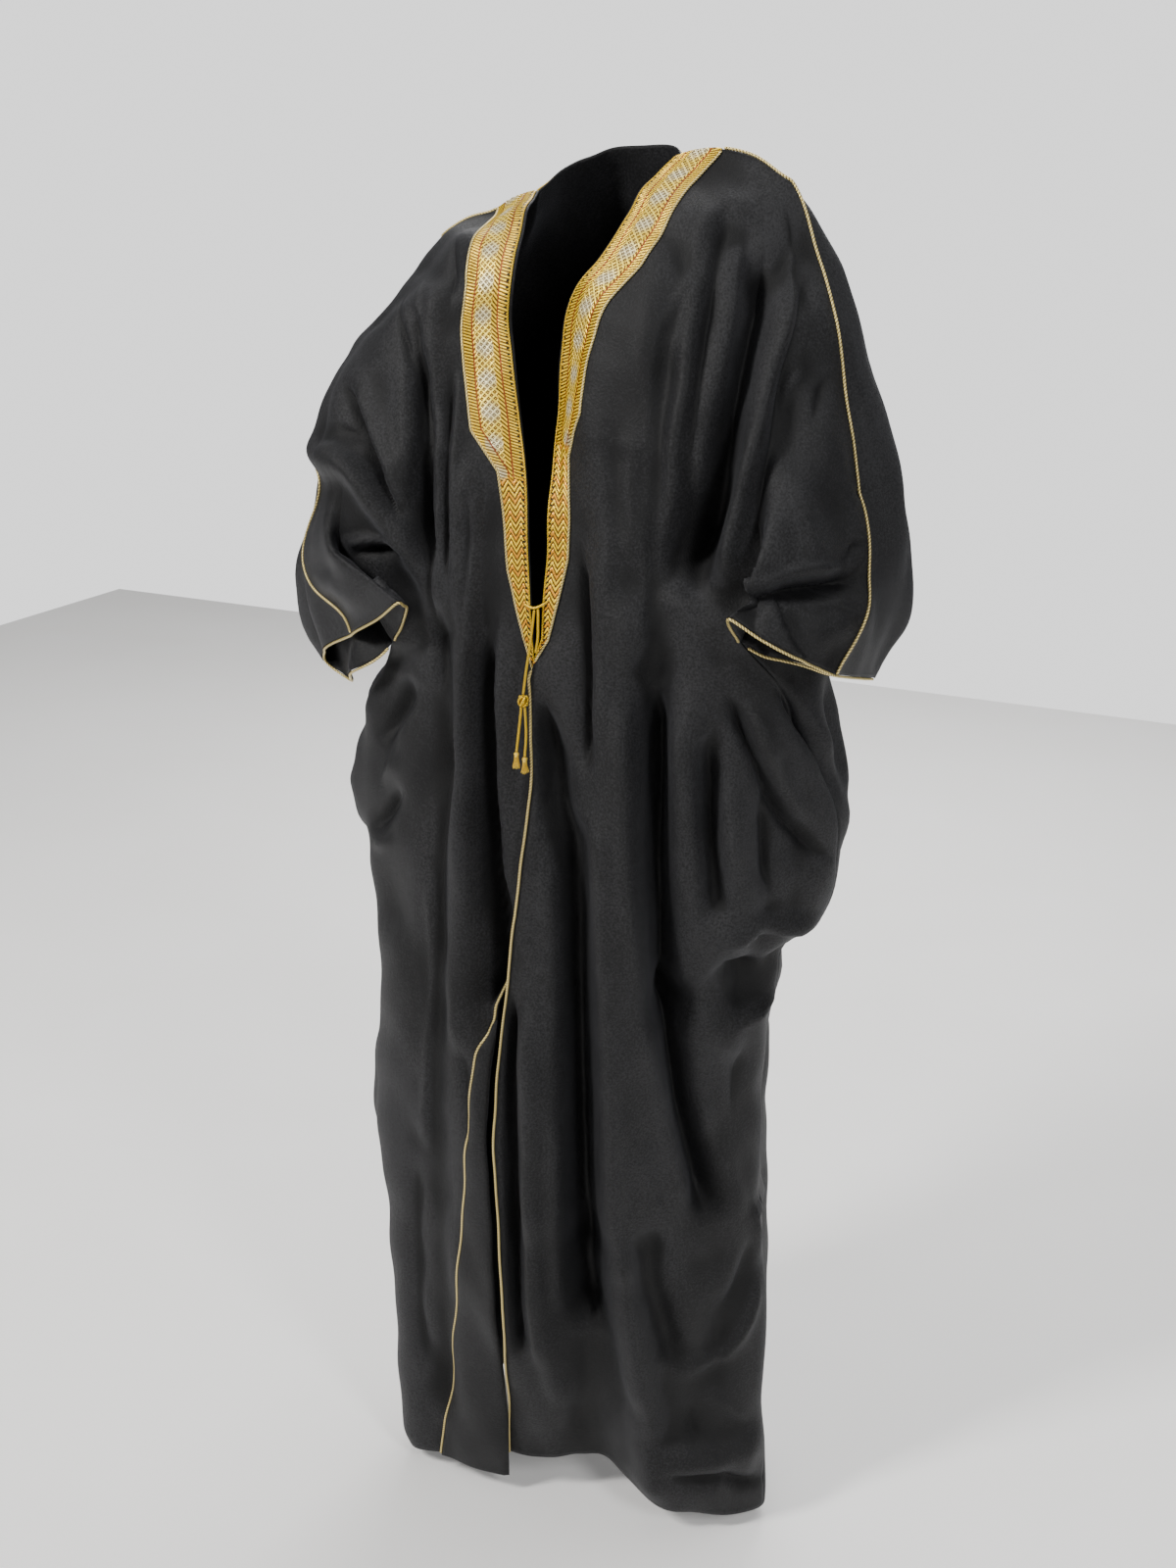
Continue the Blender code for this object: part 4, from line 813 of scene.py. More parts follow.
def bowPoints(start, startHandle, end, endHandle, share):
    share = share[..., None]
    left = 1.0 - share
    return (
        left**3 * start[:, None]
        + 3 * left**2 * share * (start + startHandle)[:, None]
        + 3 * left * share**2 * (end + endHandle)[:, None]
        + share**3 * end[:, None]
    )


def bow(start, startHandle, end, endHandle, share):
    # Rounded rows, evenly spaced along their own length
    even = np.tile(np.linspace(0.0, 1.0, cloth["bowSteps"] + 1), (len(share), 1))
    run = lengths(bowPoints(start, startHandle, end, endHandle, even), 1)
    run /= run[:, -1:]
    share = np.stack([np.interp(one, reached, even[0]) for one, reached in zip(share, run)])
    return bowPoints(start, startHandle, end, endHandle, share)


def flatVector(x, y):
    return np.stack([x, y, np.zeros_like(x)], axis=-1)


def rowsBetween(inner, outer, table, places, share, side, isFront):
    edge, edgeTurn, front, frontTurn, back, backTurn, spineReach = tableAt(table, places).T
    turn = np.radians(frontTurn if isFront else backTurn)
    reach = -front if isFront else back
    edgeTurn = np.radians(edgeTurn)
    atEdge = flatVector(side * edge * np.cos(edgeTurn), -edge * np.sin(edgeTurn))
    innerHandle = atEdge if isFront else flatVector(side * spineReach, 0.0 * spineReach)
    outerHandle = flatVector(side * reach * np.sin(turn), reach * np.cos(turn))
    return bow(along(inner, places), innerHandle, along(outer, places), outerHandle, share)


def topRow(shoulder, share, isFront):
    # The shoulder seam, and for the back the neck curve before it
    if isFront:
        return along(shoulder, share)
    neckShare = cloth["neckColumns"] / cloth["backColumns"]
    neck, spineTop = np.array(shoulder[0]), np.array(spine[0])
    bend = np.clip(share / neckShare, 0.0, 1.0)[:, None] * np.pi / 2
    behind = spineTop + (neck - spineTop) * np.concatenate(
        [np.sin(bend), 1.0 - np.cos(bend), 1.0 - np.cos(bend)], axis=1)
    onSeam = np.clip((share - neckShare) / (1.0 - neckShare), 0.0, 1.0)
    return np.where(onSeam[:, None] > 0.0, along(shoulder, onSeam), behind)


def bandShare(share, body, band, columns):
    # Moves the first columns so that the band's outer edge is a column of the front
    share = share.copy()
    fixed = share[:, body].copy()
    share[:, : columns + 1] = band[:, None] * np.linspace(0.0, 1.0, columns + 1)
    rest = np.linspace(0.0, 1.0, body - columns + 1)
    share[:, columns : body + 1] = band[:, None] + (fixed - band)[:, None] * rest
    return share


def panelHalf(guides, side, isFront, detail):
    # Upper and lower points of a front, or of half the back, at a detail of (columns, upper, lower)
    columns = (cloth["frontColumns"] if isFront else cloth["backColumns"]) * detail[0]
    body = round(cloth["bodyShare"] * columns / detail[0]) * detail[0]
    band = cloth["bandColumns"] * detail[0]
    above = np.linspace(0.0, 1.0, cloth["upperRows"] * detail[1] + 1)
    below = np.linspace(0.0, 1.0, cloth["lowerRows"] * detail[2] + 1)
    innerAbove = guides["edge"] if isFront else spine
    innerBelow = guides["edgeBelow"] if isFront else spineBelow
    share = np.tile(np.linspace(0.0, 1.0, columns + 1), (len(above), 1))
    if isFront:
        rows = rowsBetween(innerAbove, guides["arm"], fullnessAbove, above, share, side, True)
        width = lengths(rows, 1)[:, -1]
        width[0] = lengths(along(guides["shoulder"], share[0]), 0)[-1]
        share = bandShare(share, body, tableAt(bandWidths, above)[:, 0] / width, band)
    upper = rowsBetween(innerAbove, guides["arm"], fullnessAbove, above, share, side, isFront)
    top = topRow(guides["shoulder"], share[0], isFront)
    upper += (1.0 - smooth(above / cloth["topReach"]))[:, None, None] * (top - upper[0])[None]
    belowShare = np.tile(np.linspace(0.0, 1.0, body + 1), (len(below), 1))
    lower = rowsBetween(innerBelow, guides["side"], fullnessBelow, below, belowShare, side, isFront)
    if isFront:
        width = tableAt(edgeColumns, below)[:, 0 if side < 0 else 1]
        belowShare = bandShare(belowShare, body, width / lengths(lower, 1)[:, -1], band)
        lower = rowsBetween(innerBelow, guides["side"], fullnessBelow, below, belowShare, side, True)
    cuff = guides["cuffFront"] if isFront else guides["cuffBack"]
    sleeve = along(cuff, (share[-1, body:] - share[-1, body]) / (1.0 - share[-1, body]))
    last = np.concatenate([lower[0], sleeve[1:]])
    part = smooth((above - cloth["splitStart"]) / (1.0 - cloth["splitStart"])) ** cloth["splitSharpness"]
    upper += part[:, None, None] * (last - upper[-1])[None]
    return upper, lower


def clothGrids(frontDetail, backDetail):
    # Each panel's upper and lower grid, and the columns of the upper one that the lower one hangs from
    grids = {}
    for name, guides, side in (("frontLeft", leftGuides, 1), ("frontRight", rightGuides, -1)):
        upper, lower = panelHalf(guides, side, True, frontDetail)
        grids[name] = {"upper": upper, "lower": lower, "hang": slice(0, lower.shape[1]), "turn": side}
    right, left = (panelHalf(guides, side, False, backDetail)
                   for guides, side in ((rightGuides, -1), (leftGuides, 1)))
    upper, lower = (np.concatenate([right[part][:, :0:-1], left[part]], axis=1) for part in (0, 1))
    start = (upper.shape[1] - lower.shape[1]) // 2
    hang = slice(start, start + lower.shape[1])
    grids["back"] = {"upper": upper, "lower": lower, "hang": hang, "turn": -1}
    return grids


def jointNormals(grids):
    # Outward directions at the coarse points, smoothed along the cloth and over the seams
    flat = {}
    for name, grid in grids.items():
        rows, columns = grid["upper"].shape[:2]
        top = np.arange(rows * columns).reshape(rows, columns)
        hanging = grid["lower"][1:]
        low = rows * columns + np.arange(hanging.shape[0] * hanging.shape[1]).reshape(hanging.shape[:2])
        low = np.concatenate([top[-1:, grid["hang"]], low])
        quads = [np.stack([part[:-1, :-1], part[:-1, 1:], part[1:, 1:], part[1:, :-1]], axis=-1)
                 .reshape(-1, 4) for part in (top, low)]
        flat[name] = {"points": np.concatenate([grid["upper"].reshape(-1, 3), hanging.reshape(-1, 3)]),
                      "faces": np.concatenate(quads), "upper": top, "lower": low}
    for name, item in flat.items():
        one, two, three, four = (item["points"][item["faces"][:, corner]] for corner in range(4))
        across = np.cross(three - one, four - two) * -grids[name]["turn"]
        item["normals"] = gathered(item, np.repeat(across[:, None], 4, axis=1))
    for _ in range(cloth["foldSmoothing"]):
        for item in flat.values():
            middle = item["normals"][item["faces"]].sum(axis=1)
            item["normals"] = gathered(item, np.repeat(middle[:, None], 4, axis=1))
        shareSeams(flat)
    return {name: (item["normals"][item["upper"]], item["normals"][item["lower"]])
            for name, item in flat.items()}


def gathered(item, values):
    total = np.zeros_like(item["points"])
    np.add.at(total, item["faces"].ravel(), values.reshape(-1, 3))
    return unit(total)


def shareSeams(flat):
    for name, outer in (("frontLeft", -1), ("frontRight", 0)):
        for part in ("upper", "lower"):
            front, back = flat[name], flat["back"]
            here, there = front[part][:, -1], back[part][:, outer]
            both = unit(front["normals"][here] + back["normals"][there])
            front["normals"][here] = both
            back["normals"][there] = both


def foldDepth(points, normals):
    # How far the folds move each point along its normal; a row's middle pairs are its route
    facing = {where: smooth((sign * normals[..., axis] - least) / cloth["lean"])
              for where, (axis, sign, least) in cloth["facing"].items()}
    depth = np.zeros(points.shape[:-1])
    for where, place, height, farPlace, farHeight, width, deep, farDeep in folds:
        across = points[..., 1 - cloth["facing"][where][0]]
        run = np.array([farPlace - place, farHeight - height])
        length = np.hypot(*run)
        run /= length
        apart = np.stack([across - place, points[..., 2] - height], axis=-1)
        down = apart @ run
        aside = apart @ np.array([-run[1], run[0]])
        fade = min(cloth["foldFade"], cloth["fadeShare"] * length)
        ends = smooth((down + 0.5 * fade) / fade) * smooth((length + 0.5 * fade - down) / fade)
        here = deep + (farDeep - deep) * np.clip(down / length, 0.0, 1.0)
        depth += facing[where] * here * ends * np.exp(-((aside / width) ** 2))
    return depth


def creaseDepth(points, normals):
    # Narrow ridges and valleys by distance from their routes
    depth = np.zeros(points.shape[:-1])
    for near, far, deep, farDeep, route in creases:
        path = evenPath(np.array(route, float) / 1000.0, cloth["creaseStep"])
        tangent = unit(np.gradient(path, axis=0))
        run = lengths(path, 0)
        reach = cloth["creaseReach"] * max(near, far) + cloth["creaseLoose"]
        lowest, highest = path.min(axis=0) - reach, path.max(axis=0) + reach
        inside = np.all((points > lowest) & (points < highest), axis=-1)
        if not inside.any():
            continue
        here, normal = points[inside], normals[inside]
        closest = np.argmin(((here[:, None] - path[None]) ** 2).sum(axis=-1), axis=1)
        way, apart = tangent[closest], here - path[closest]
        ahead = (apart * way).sum(axis=-1)
        apart -= ahead[:, None] * way
        aside = (apart * np.cross(way, normal)).sum(axis=-1)
        above = np.maximum(np.abs((apart * normal).sum(axis=-1)) - cloth["creaseLoose"], 0.0)
        width = np.where(aside > 0.0, near, far) / 1000.0
        reached, fade = run[closest] + ahead, min(cloth["creaseFade"], cloth["fadeShare"] * run[-1])
        ends = smooth(reached / fade) * smooth((run[-1] - reached) / fade)
        here = deep + (farDeep - deep) * np.clip(reached / run[-1], 0.0, 1.0)
        sharp = np.interp(width, cloth["creaseBroad"], cloth["creaseSharp"])
        spread = ((aside**2 + above**2) / width**2 + cloth["creaseCrown"]) ** sharp
        depth[inside] += 0.001 * here * ends * np.exp(-spread)
    return depth


def blurred(values, axis, size):
    # Gaussian average along one axis of a grid
    taps = np.arange(-3 * size, 3 * size + 1)
    weights = np.exp(-0.5 * (taps / size) ** 2)
    wide = np.pad(values, [(3 * size, 3 * size) if one == axis else (0, 0) for one in range(values.ndim)])
    count = values.shape[axis]
    return sum(weight * np.take(wide, np.arange(place, place + count), axis=axis)
               for place, weight in enumerate(weights / weights.sum()))


def shadeHollows(grid, strength):
    # Level for the painted shade of the cloth: below 0.5 in a valley of the cloth and above it on a ridge,
    # at two sizes of fold
    rows = len(grid["upper"])
    parts = {"upper": (slice(0, rows), slice(None)), "lower": (slice(rows - 1, None), grid["hang"])}
    whole = np.zeros((rows + len(grid["lower"]) - 1, *grid["upper"].shape[1:]))
    ways, filled = whole.copy(), np.zeros((*whole.shape[:2], 1))
    for part, place in parts.items():
        whole[place], ways[place], filled[place] = grid[part], grid[part + "Out"], 1.0
    shadeLevel = 0.0
    for size, deep in cloth["shadeHollows"]:
        mean = blurred(blurred(whole * filled, 0, size), 1, size)
        share = blurred(blurred(filled, 0, size), 1, size)
        shadeLevel = shadeLevel + ((whole - mean / np.maximum(share, 1e-6)) * ways).sum(axis=-1) / deep
    shadeLevel = 0.5 + strength * np.tanh(shadeLevel - cloth["shadeHollowOffset"])
    return {part: np.stack([shadeLevel[place]] * 2, axis=-1) for part, place in parts.items()}


def edgesMeet(points, height, across, moves):
    # Lays the left front edge over the right one below the tie, and closes them at the hem
    heights, aside, out = np.array(moves).T
    share = 1.0 - smooth(across / cloth["meetReach"])
    left, back = (np.interp(height, heights, move) for move in (aside, out))
    return points + share[..., None] * np.stack([left, back, 0.0 * height], axis=-1)


def rippleDepth(points):
    # Shallow unevenness of hanging cloth, longer down than across
    rng = np.random.default_rng(cloth["rippleSeed"])
    depth = np.zeros(points.shape[:-1])
    for _ in range(cloth["ripples"]):
        size = rng.uniform(*cloth["rippleSize"])
        way = rng.normal(size=3) * cloth["rippleWay"]
        phase = rng.uniform(0.0, 2.0 * np.pi)
        bend = np.sin(points[..., 2] * rng.uniform(*cloth["rippleBend"]) + phase)
        bend *= rng.uniform(*cloth["rippleSwing"])
        strength = cloth["rippleDeep"] * size / cloth["rippleSize"][1]
        depth += strength * np.sin(points @ way / np.linalg.norm(way) * 2.0 * np.pi / size + phase + bend)
    return depth


def gridNormals(points, turn):
    across = np.gradient(points, axis=1)
    down = np.gradient(points, axis=0)
    return unit(np.cross(across, down) * -turn)


def foldedCloth():
    # Fine grids, folded along the coarse directions so that they follow the solids
    coarse = clothGrids((1, 1, 1), (1, 1, 1))
    directions = jointNormals(coarse)
    grids = clothGrids(cloth["frontDetail"], cloth["backDetail"])
    for name, grid in grids.items():
        detail = cloth["backDetail"] if name == "back" else cloth["frontDetail"]
        for part, coarseWay, rowDetail in zip(("upper", "lower"), directions[name], detail[1:]):
            rows = np.arange(grid[part].shape[0])[:, None] / rowDetail
            columns = np.arange(grid[part].shape[1])[None] / detail[0]
            way = unit(gridAt(coarseWay, rows, columns))
            points = grid[part] + way * foldDepth(grid[part], way)[..., None]
            across = lengths(points, 1)
            inside = 1.0 if name == "back" else smooth(across / cloth["edgeFlat"])
            depth = creaseDepth(points, way) * inside + rippleDepth(points)
            grid[part] = points + way * depth[..., None]
            if name in cloth["meet"]:
                grid[part] = edgesMeet(grid[part], points[..., 2], across, cloth["meet"][name])
        grid["lower"][0] = grid["upper"][-1, grid["hang"]]
        for part in ("upper", "lower"):
            grid[part][..., 2] -= cloth["shoulderHeight"]
            grid[part + "Out"] = gridNormals(grid[part], grid["turn"])
        both = unit(grid["upperOut"][-1, grid["hang"]] + grid["lowerOut"][0])
        grid["upperOut"][-1, grid["hang"]] = grid["lowerOut"][0] = both
    return grids


def clothPanel(name, grid, node):
    run = {part: np.stack([lengths(grid[part], 1), lengths(grid[part], 0)], axis=-1)
           for part in ("upper", "lower")}
    seam = run["upper"][-1, grid["hang"]]
    run["lower"] += np.stack([np.full(len(seam), seam[0, 0]), seam[:, 1]], axis=-1)
    # How strongly the valleys of this panel get painted shade
    shadeLevel = shadeHollows(grid, cloth["shadeBack" if name == "back" else "shadeFront"])
    bm = bmesh.new()
    for part in ("upper", "lower"):
        layGrid(bm, grid[part], {"cloth": run[part], "paintedShade": shadeLevel[part]}, grid["turn"] > 0)
    bmesh.ops.remove_doubles(bm, verts=bm.verts, dist=cloth["weld"])
    piece = toObject(name, bm)
    thicken(piece, cloth["wall"], 1.0)
    dress(piece, worsted, "black_cloth", node)
    area = sum(face.area for face in piece.data.polygons)
    print("panel", name, len(piece.data.vertices), round(area, 3))
    return piece


grids = foldedCloth()
panels = {
    "frontLeft": clothPanel("frontLeft", grids["frontLeft"], "front_left"),
    "frontRight": clothPanel("frontRight", grids["frontRight"], "front_right"),
    "back": clothPanel("back", grids["back"], "back"),
}
print("cloth ready")

# Gold bands
zari = {
    "rise": 0.0012, "edgeRise": 0.35, "edgeRound": 0.0022, "reliefStart": 0.0012, "thickness": 0.0010,
    "columns": 52, "rowsPerRow": 4, "tip": 0.05, "sliver": 0.062, "rib": 0.0046, "ribDepth": 0.00042,
    "cluster": 0.032, "clusterShift": 0.4, "clusterReach": 0.0105, "cell": 0.0064, "lattice": 0.0090,
    "latticeSoft": 0.0006, "stripRib": 0.0032, "stripSlant": 0.35, "stripSoft": 0.0008,
    "step": 0.325, "stepBlend": 0.006, "middle": 0.0265, "innerStrip": 0.0112, "outerStrip": 0.0105,
    "lowRib": 0.0060, "lowColumn": 0.0115, "lowSlant": 1.5,
}
zariLook = {
    "gold": (0.93, 0.54, 0.008), "light": (1.0, 0.78, 0.060), "shade": (0.085, 0.036, 0.002),
    "silver": (0.78, 0.74, 0.56), "silverShade": (0.15, 0.110, 0.045), "dark": (0.010, 0.007, 0.004),
    "red": (0.24, 0.040, 0.008), "orange": (0.72, 0.24, 0.015), "metal": 0.50,
    "roughness": (0.27, 0.43), "fine": (700.0, 2.0), "fineShare": 0.8, "bump": (0.75, 0.00045),
    "bars": (0.42, 0.16), "knots": (0.80, 0.97, 0.0, 0.7), "clusterSlope": 0.7,
    "clusterSoft": (0.004, 0.006), "silverShare": (0.08, 0.70), "line": (0.0011, 0.0005),
    "dot": 0.0058, "dotPlace": 0.0026, "dotEdge": (0.0016, 0.0010), "dotLimits": (0.60, 0.82),
    "goldLimits": (0.22, 0.62), "highlightLimits": (0.66, 1.10), "silverLimits": (0.10, 0.85),
    "accentLimits": (0.88, 0.98, 0.0, 0.8), "glossLimits": (0.3, 0.7),
}


def goldZari():
    # The band's woven pattern, from the distance to each edge and the way down, with painted shade in the
    # troughs of its ribs and lattice and a painted highlight on their crests
    look = zariLook
    finish, net, shader = tree("goldZari")
    plus, minus, times, absolute = arithmetic(net)
    inner, down = uvPart(net, "zari")
    outer, _ = uvPart(net, "edge")

    def turnWave(value, period, shift=0.0):
        angle = plus(times(value, 2 * math.pi / period), shift)
        return between(net, mathNode(net, "COSINE", angle), -1.0, 1.0)

    def either(share, first, second):
        return plus(times(first, minus(1.0, share)), times(second, share))

    def past(place, edge, soft):
        return between(net, place, edge, edge + soft)

    def near(place, line, limits):
        return between(net, absolute(minus(place, line)), *limits)

    offMiddle = minus(inner, zari["middle"])
    away = absolute(offMiddle)
    ribs = turnWave(minus(down, away), zari["rib"])
    shifted = plus(down, zari["clusterShift"] * zari["cluster"])
    place = minus(mathNode(net, "FLOORED_MODULO", shifted, zari["cluster"]), 0.5 * zari["cluster"])
    crossings = (plus(place, offMiddle), minus(place, offMiddle))
    one, two = (minus(1.0, turnWave(line, zari["cell"], math.pi)) for line in crossings)
    cells = mathNode(net, "MINIMUM", one, two)
    bars = plus(between(net, cells, *look["bars"]), between(net, cells, *look["knots"]))
    soft = zari["latticeSoft"]
    inLattice = between(net, away, zari["lattice"] + soft, zari["lattice"] - soft)
    wider, narrower = look["clusterSoft"]
    inCluster = between(net, plus(absolute(place), times(away, look["clusterSlope"])),
                        zari["clusterReach"] + wider, zari["clusterReach"] - narrower)
    strip = turnWave(plus(down, times(inner, zari["stripSlant"])), zari["stripRib"])
    inMiddle = times(past(inner, zari["innerStrip"], zari["stripSoft"]),
                     past(outer, zari["outerStrip"], zari["stripSoft"]))
    lines = mathNode(net, "MAXIMUM", near(inner, zari["innerStrip"], look["line"]),
                     near(outer, zari["outerStrip"], look["line"]))
    below = past(down, zari["step"], zari["stepBlend"])
    notBelow = minus(1.0, below)
    column = mathNode(net, "FRACT", mathNode(net, "DIVIDE", inner, zari["lowColumn"]))
    column = times(absolute(minus(column, 0.5)), zari["lowColumn"])
    slant = minus(down, times(column, zari["lowSlant"]))
    lowRibs = turnWave(slant, zari["lowRib"])
    thirds = turnWave(slant, 3 * zari["lowRib"])
    accent = times(below, between(net, thirds, *look["accentLimits"]))
    fine = noise(net, objectPoint(net), *look["fine"])

    tone = either(below, either(inMiddle, strip, either(inLattice, ribs, bars)), lowRibs)
    tone = plus(tone, times(minus(fine, 0.5), look["fineShare"]))
    # Painted shade and highlight: low tone takes the dark shade colour and high tone the light colour,
    # following the relief, with some random tone
    colour = mixed(net, between(net, tone, *look["goldLimits"]), look["shade"], look["gold"])
    colour = mixed(net, between(net, tone, *look["highlightLimits"]), colour, look["light"])
    # Painted shade: the lattice's recessed cells take a dark silver and its raised bars a bright silver
    silvery = mixed(net, between(net, tone, *look["silverLimits"]), look["silverShade"], look["silver"])
    least, more = look["silverShare"]
    silver = times(times(inLattice, notBelow), plus(least, times(inCluster, more)))
    colour = mixed(net, silver, colour, silvery)
    colour = mixed(net, times(lines, notBelow), colour, look["red"])
    colour = mixed(net, accent, colour, look["orange"])
    dots = times(between(net, turnWave(down, look["dot"]), *look["dotLimits"]),
                 near(inner, look["dotPlace"], look["dotEdge"]))
    colour = mixed(net, dots, colour, look["dark"])
    net.links.new(colour, shader.inputs["Base Color"])
    shader.inputs["Metallic"].default_value = look["metal"]
    rough = between(net, fine, *look["glossLimits"], *look["roughness"])
    net.links.new(rough, shader.inputs["Roughness"])
    bump(net, shader, plus(tone, times(fine, 0.5)), *look["bump"])
    return finish


zariRidges = {
    "bars": (0.16, 0.26), "barHeight": 1.3, "stripHeight": 0.7, "line": 0.0006, "lineDeep": 0.8,
    "spine": 0.0007, "spineDeep": 1.2,
}


def wave(value):
    return 0.5 + 0.5 * np.cos(2 * np.pi * value)


def narrowBell(value, width):
    return np.exp(-((value / width) ** 2))


def zariRelief(inner, outer, down):
    # Height of the woven pattern: chevron ribs, diamond lattice and border strips
    ridge = zariRidges
    away = np.abs(inner - zari["middle"])
    ribs = wave((down - away) / zari["rib"])
    place = (down + zari["clusterShift"] * zari["cluster"]) % zari["cluster"] - 0.5 * zari["cluster"]
    soft = zari["latticeSoft"]
    inLattice = smooth((zari["lattice"] + soft - away) / (2 * soft))
    one, two = ((place + sign * (inner - zari["middle"])) / zari["cell"] + 0.5 for sign in (1, -1))
    first, reach = ridge["bars"]
    bars = 1.0 - smooth((np.minimum(1 - wave(one), 1 - wave(two)) - first) / reach)
    middle = ribs * (1 - inLattice) + inLattice * bars * ridge["barHeight"]
    strip = wave((down + zari["stripSlant"] * inner) / zari["stripRib"])
    pastInner, pastOuter = inner - zari["innerStrip"], outer - zari["outerStrip"]
    lines = narrowBell(pastInner, ridge["line"]) + narrowBell(pastOuter, ridge["line"])
    inMiddle = smooth(pastInner / zari["stripSoft"]) * smooth(pastOuter / zari["stripSoft"])
    upper = inMiddle * middle + (1 - inMiddle) * strip * ridge["stripHeight"] - ridge["lineDeep"] * lines
    column = np.abs((inner / zari["lowColumn"]) % 1.0 - 0.5) * zari["lowColumn"]
    low = wave((down - zari["lowSlant"] * column) / zari["lowRib"])
    low -= ridge["spineDeep"] * narrowBell(column, ridge["spine"])
    below = smooth((down - zari["step"]) / zari["stepBlend"])
    return zari["ribDepth"] * (upper * (1 - below) + low * below)


def bandSurface(points, out, down, flip, name, node):
    inner = lengths(points, 1)
    outer = inner[:, -1:] - inner
    edge = np.minimum(inner, outer)
    dome = zari["rise"] * (zari["edgeRise"] + (1.0 - zari["edgeRise"]) * smooth(edge / zari["edgeRound"]))
    dome += zariRelief(inner, outer, down) * smooth(edge / zari["reliefStart"])
    bm = bmesh.new()
    maps = {"zari": np.stack([inner, down], axis=-1), "edge": np.stack([outer, down], axis=-1)}
    layGrid(bm, points + out * (cloth["wall"] + dome)[..., None], maps, flip)
    piece = toObject(name, bm)
    thicken(piece, zari["thickness"], -1.0)
    dress(piece, zariGold, "gold_thread", node)
    print("band", name, len(piece.data.vertices))


def wayDown(points, column):
    # Distance run down one column, for every column of a band
    return np.repeat(lengths(points, 0)[:, column][:, None], points.shape[1], axis=1)


def frontBand(name, grid, node):
    tipRows, reach = cloth["frontDetail"][2], bandFine + 3
    whole, out = (
        np.concatenate([grid["upper" + kind][:, :reach], grid["lower" + kind][1 : tipRows + 2, :reach]])
        for kind in ("", "Out"))
    last = len(grid["upper"]) - 1
    rows = np.linspace(0.0, last + tipRows, (last + tipRows) * zari["rowsPerRow"] + 1)
    narrow = 1.0 - (1.0 - zari["tip"]) * np.clip((rows - last) / tipRows, 0.0, 1.0)
    share = np.linspace(0.0, 1.0, zari["columns"] + 1)
    inset = zari["sliver"] * (1.0 - smooth((rows - last) / tipRows))  # cloth showing inside the band
    columns = bandFine * (inset[:, None] + (narrow[:, None] - inset[:, None]) * share)
    points = gridAt(whole, rows[:, None], columns)
    ways = unit(gridAt(out, rows[:, None], columns))
    bandSurface(points, ways, wayDown(points, zari["columns"] // 2), grid["turn"] > 0, name, node)
    return points, ways


neckShape = {
    "rows": 221, "columns": 49, "straight": 0.8, "rest": 0.2,  # shares of the way to a shoulder
    "inner": 10, "outer": 11, "wing": 4, "depth": 2.0, "seat": 0.05,  # columns and rows of the back
    "repeat": 0.31,
}


def neckBand():
    # Follows the back of the neck and narrows to nothing behind each front band
    grid, detail, shape = grids["back"], cloth["backDetail"], neckShape
    centre = grid["upper"].shape[1] // 2
    place = np.linspace(-1.0, 1.0, shape["rows"])
    share = np.linspace(0.0, 1.0, shape["columns"])
    size = np.abs(place)
    isStraight = size < shape["straight"]
    wing = shape["outer"] + shape["wing"] * (size - shape["straight"]) / shape["rest"]
    outerColumn = np.where(isStraight, shape["outer"] * size / shape["straight"], wing) * np.sign(place)
    outerRow = np.where(isStraight, shape["depth"], shape["depth"] * (1.0 - size) / shape["rest"])
    innerColumn = shape["inner"] * place
    columns = centre + detail[0] * (innerColumn[:, None] * (1 - share) + outerColumn[:, None] * share)
    rows = detail[1] * outerRow[:, None] * (shape["seat"] + (1.0 - shape["seat"]) * share)
    points = gridAt(grid["upper"], rows, columns)
    ways = unit(gridAt(grid["upperOut"], rows, columns))
    down = wayDown(points, shape["columns"] // 2)
    down = np.abs(down - down[shape["rows"] // 2]) % shape["repeat"]
    bandSurface(points, ways, down, False, "bandNeck", "band_neck")
    return points, ways


zariGold = goldZari()
bands = {word: frontBand("band" + word, grids["front" + word], "band_" + word.lower())
         for word in ("Left", "Right")}
bands["Neck"] = neckBand()

bandEdges = {
    "seat": 0.9, "ends": 2, "step": 0.0008, "around": 8, "depth": 0.28,
    "cords": {  # column, radius, finish and pitch
        "Outer": (-1, 0.0013, paleCord, 0.0062),
        "Inner": (0, 0.0009, brightCord, 0.0054),
    },
}
for word, (points, ways) in bands.items():
    for place, (column, radius, finish, pitch) in bandEdges["cords"].items():
        path = points[:, column] + ways[:, column] * (cloth["wall"] + radius * bandEdges["seat"])
        path = path[bandEdges["ends"] : -bandEdges["ends"]]
        piece, _ = twistedCord("band" + place + "Cord" + word, path, radius, pitch, bandEdges["step"],
                               strands=2, around=bandEdges["around"], depth=bandEdges["depth"])
        dress(piece, finish, "gold_thread")
print("bands ready")

# Piping, cuff cords and front edge cords
trim = {
    "pipingRadius": 0.0016, "pipingSeat": 0.4, "pipingStart": 0.45, "pipingTurns": 6,
    "cuffRadius": 0.0015, "cuffClear": 0.0004, "cuffStart": 0.10, "cuffTurns": (12, 4),
    "edgeRadius": 0.0015, "edgeInset": 0.0006, "edgeStart": 0.12, "edgePlaces": 400,
    "pitch": 0.0068, "step": 0.0011, "clear": 0.0003, "strands": 2, "around": 8, "depth": 0.30,
}


def trimCord(name, path, radius, node):
    piece, _ = twistedCord(name, path, radius, trim["pitch"], trim["step"], strands=trim["strands"],
                           around=trim["around"], depth=trim["depth"])
    dress(piece, paleCord, "gold_thread", node)


def settled(path, turns):
    # Evens out a path but keeps its ends
    path = path.copy()
    for _ in range(turns):
        path[1:-1] = 0.25 * path[:-2] + 0.5 * path[1:-1] + 0.25 * path[2:]
    return path


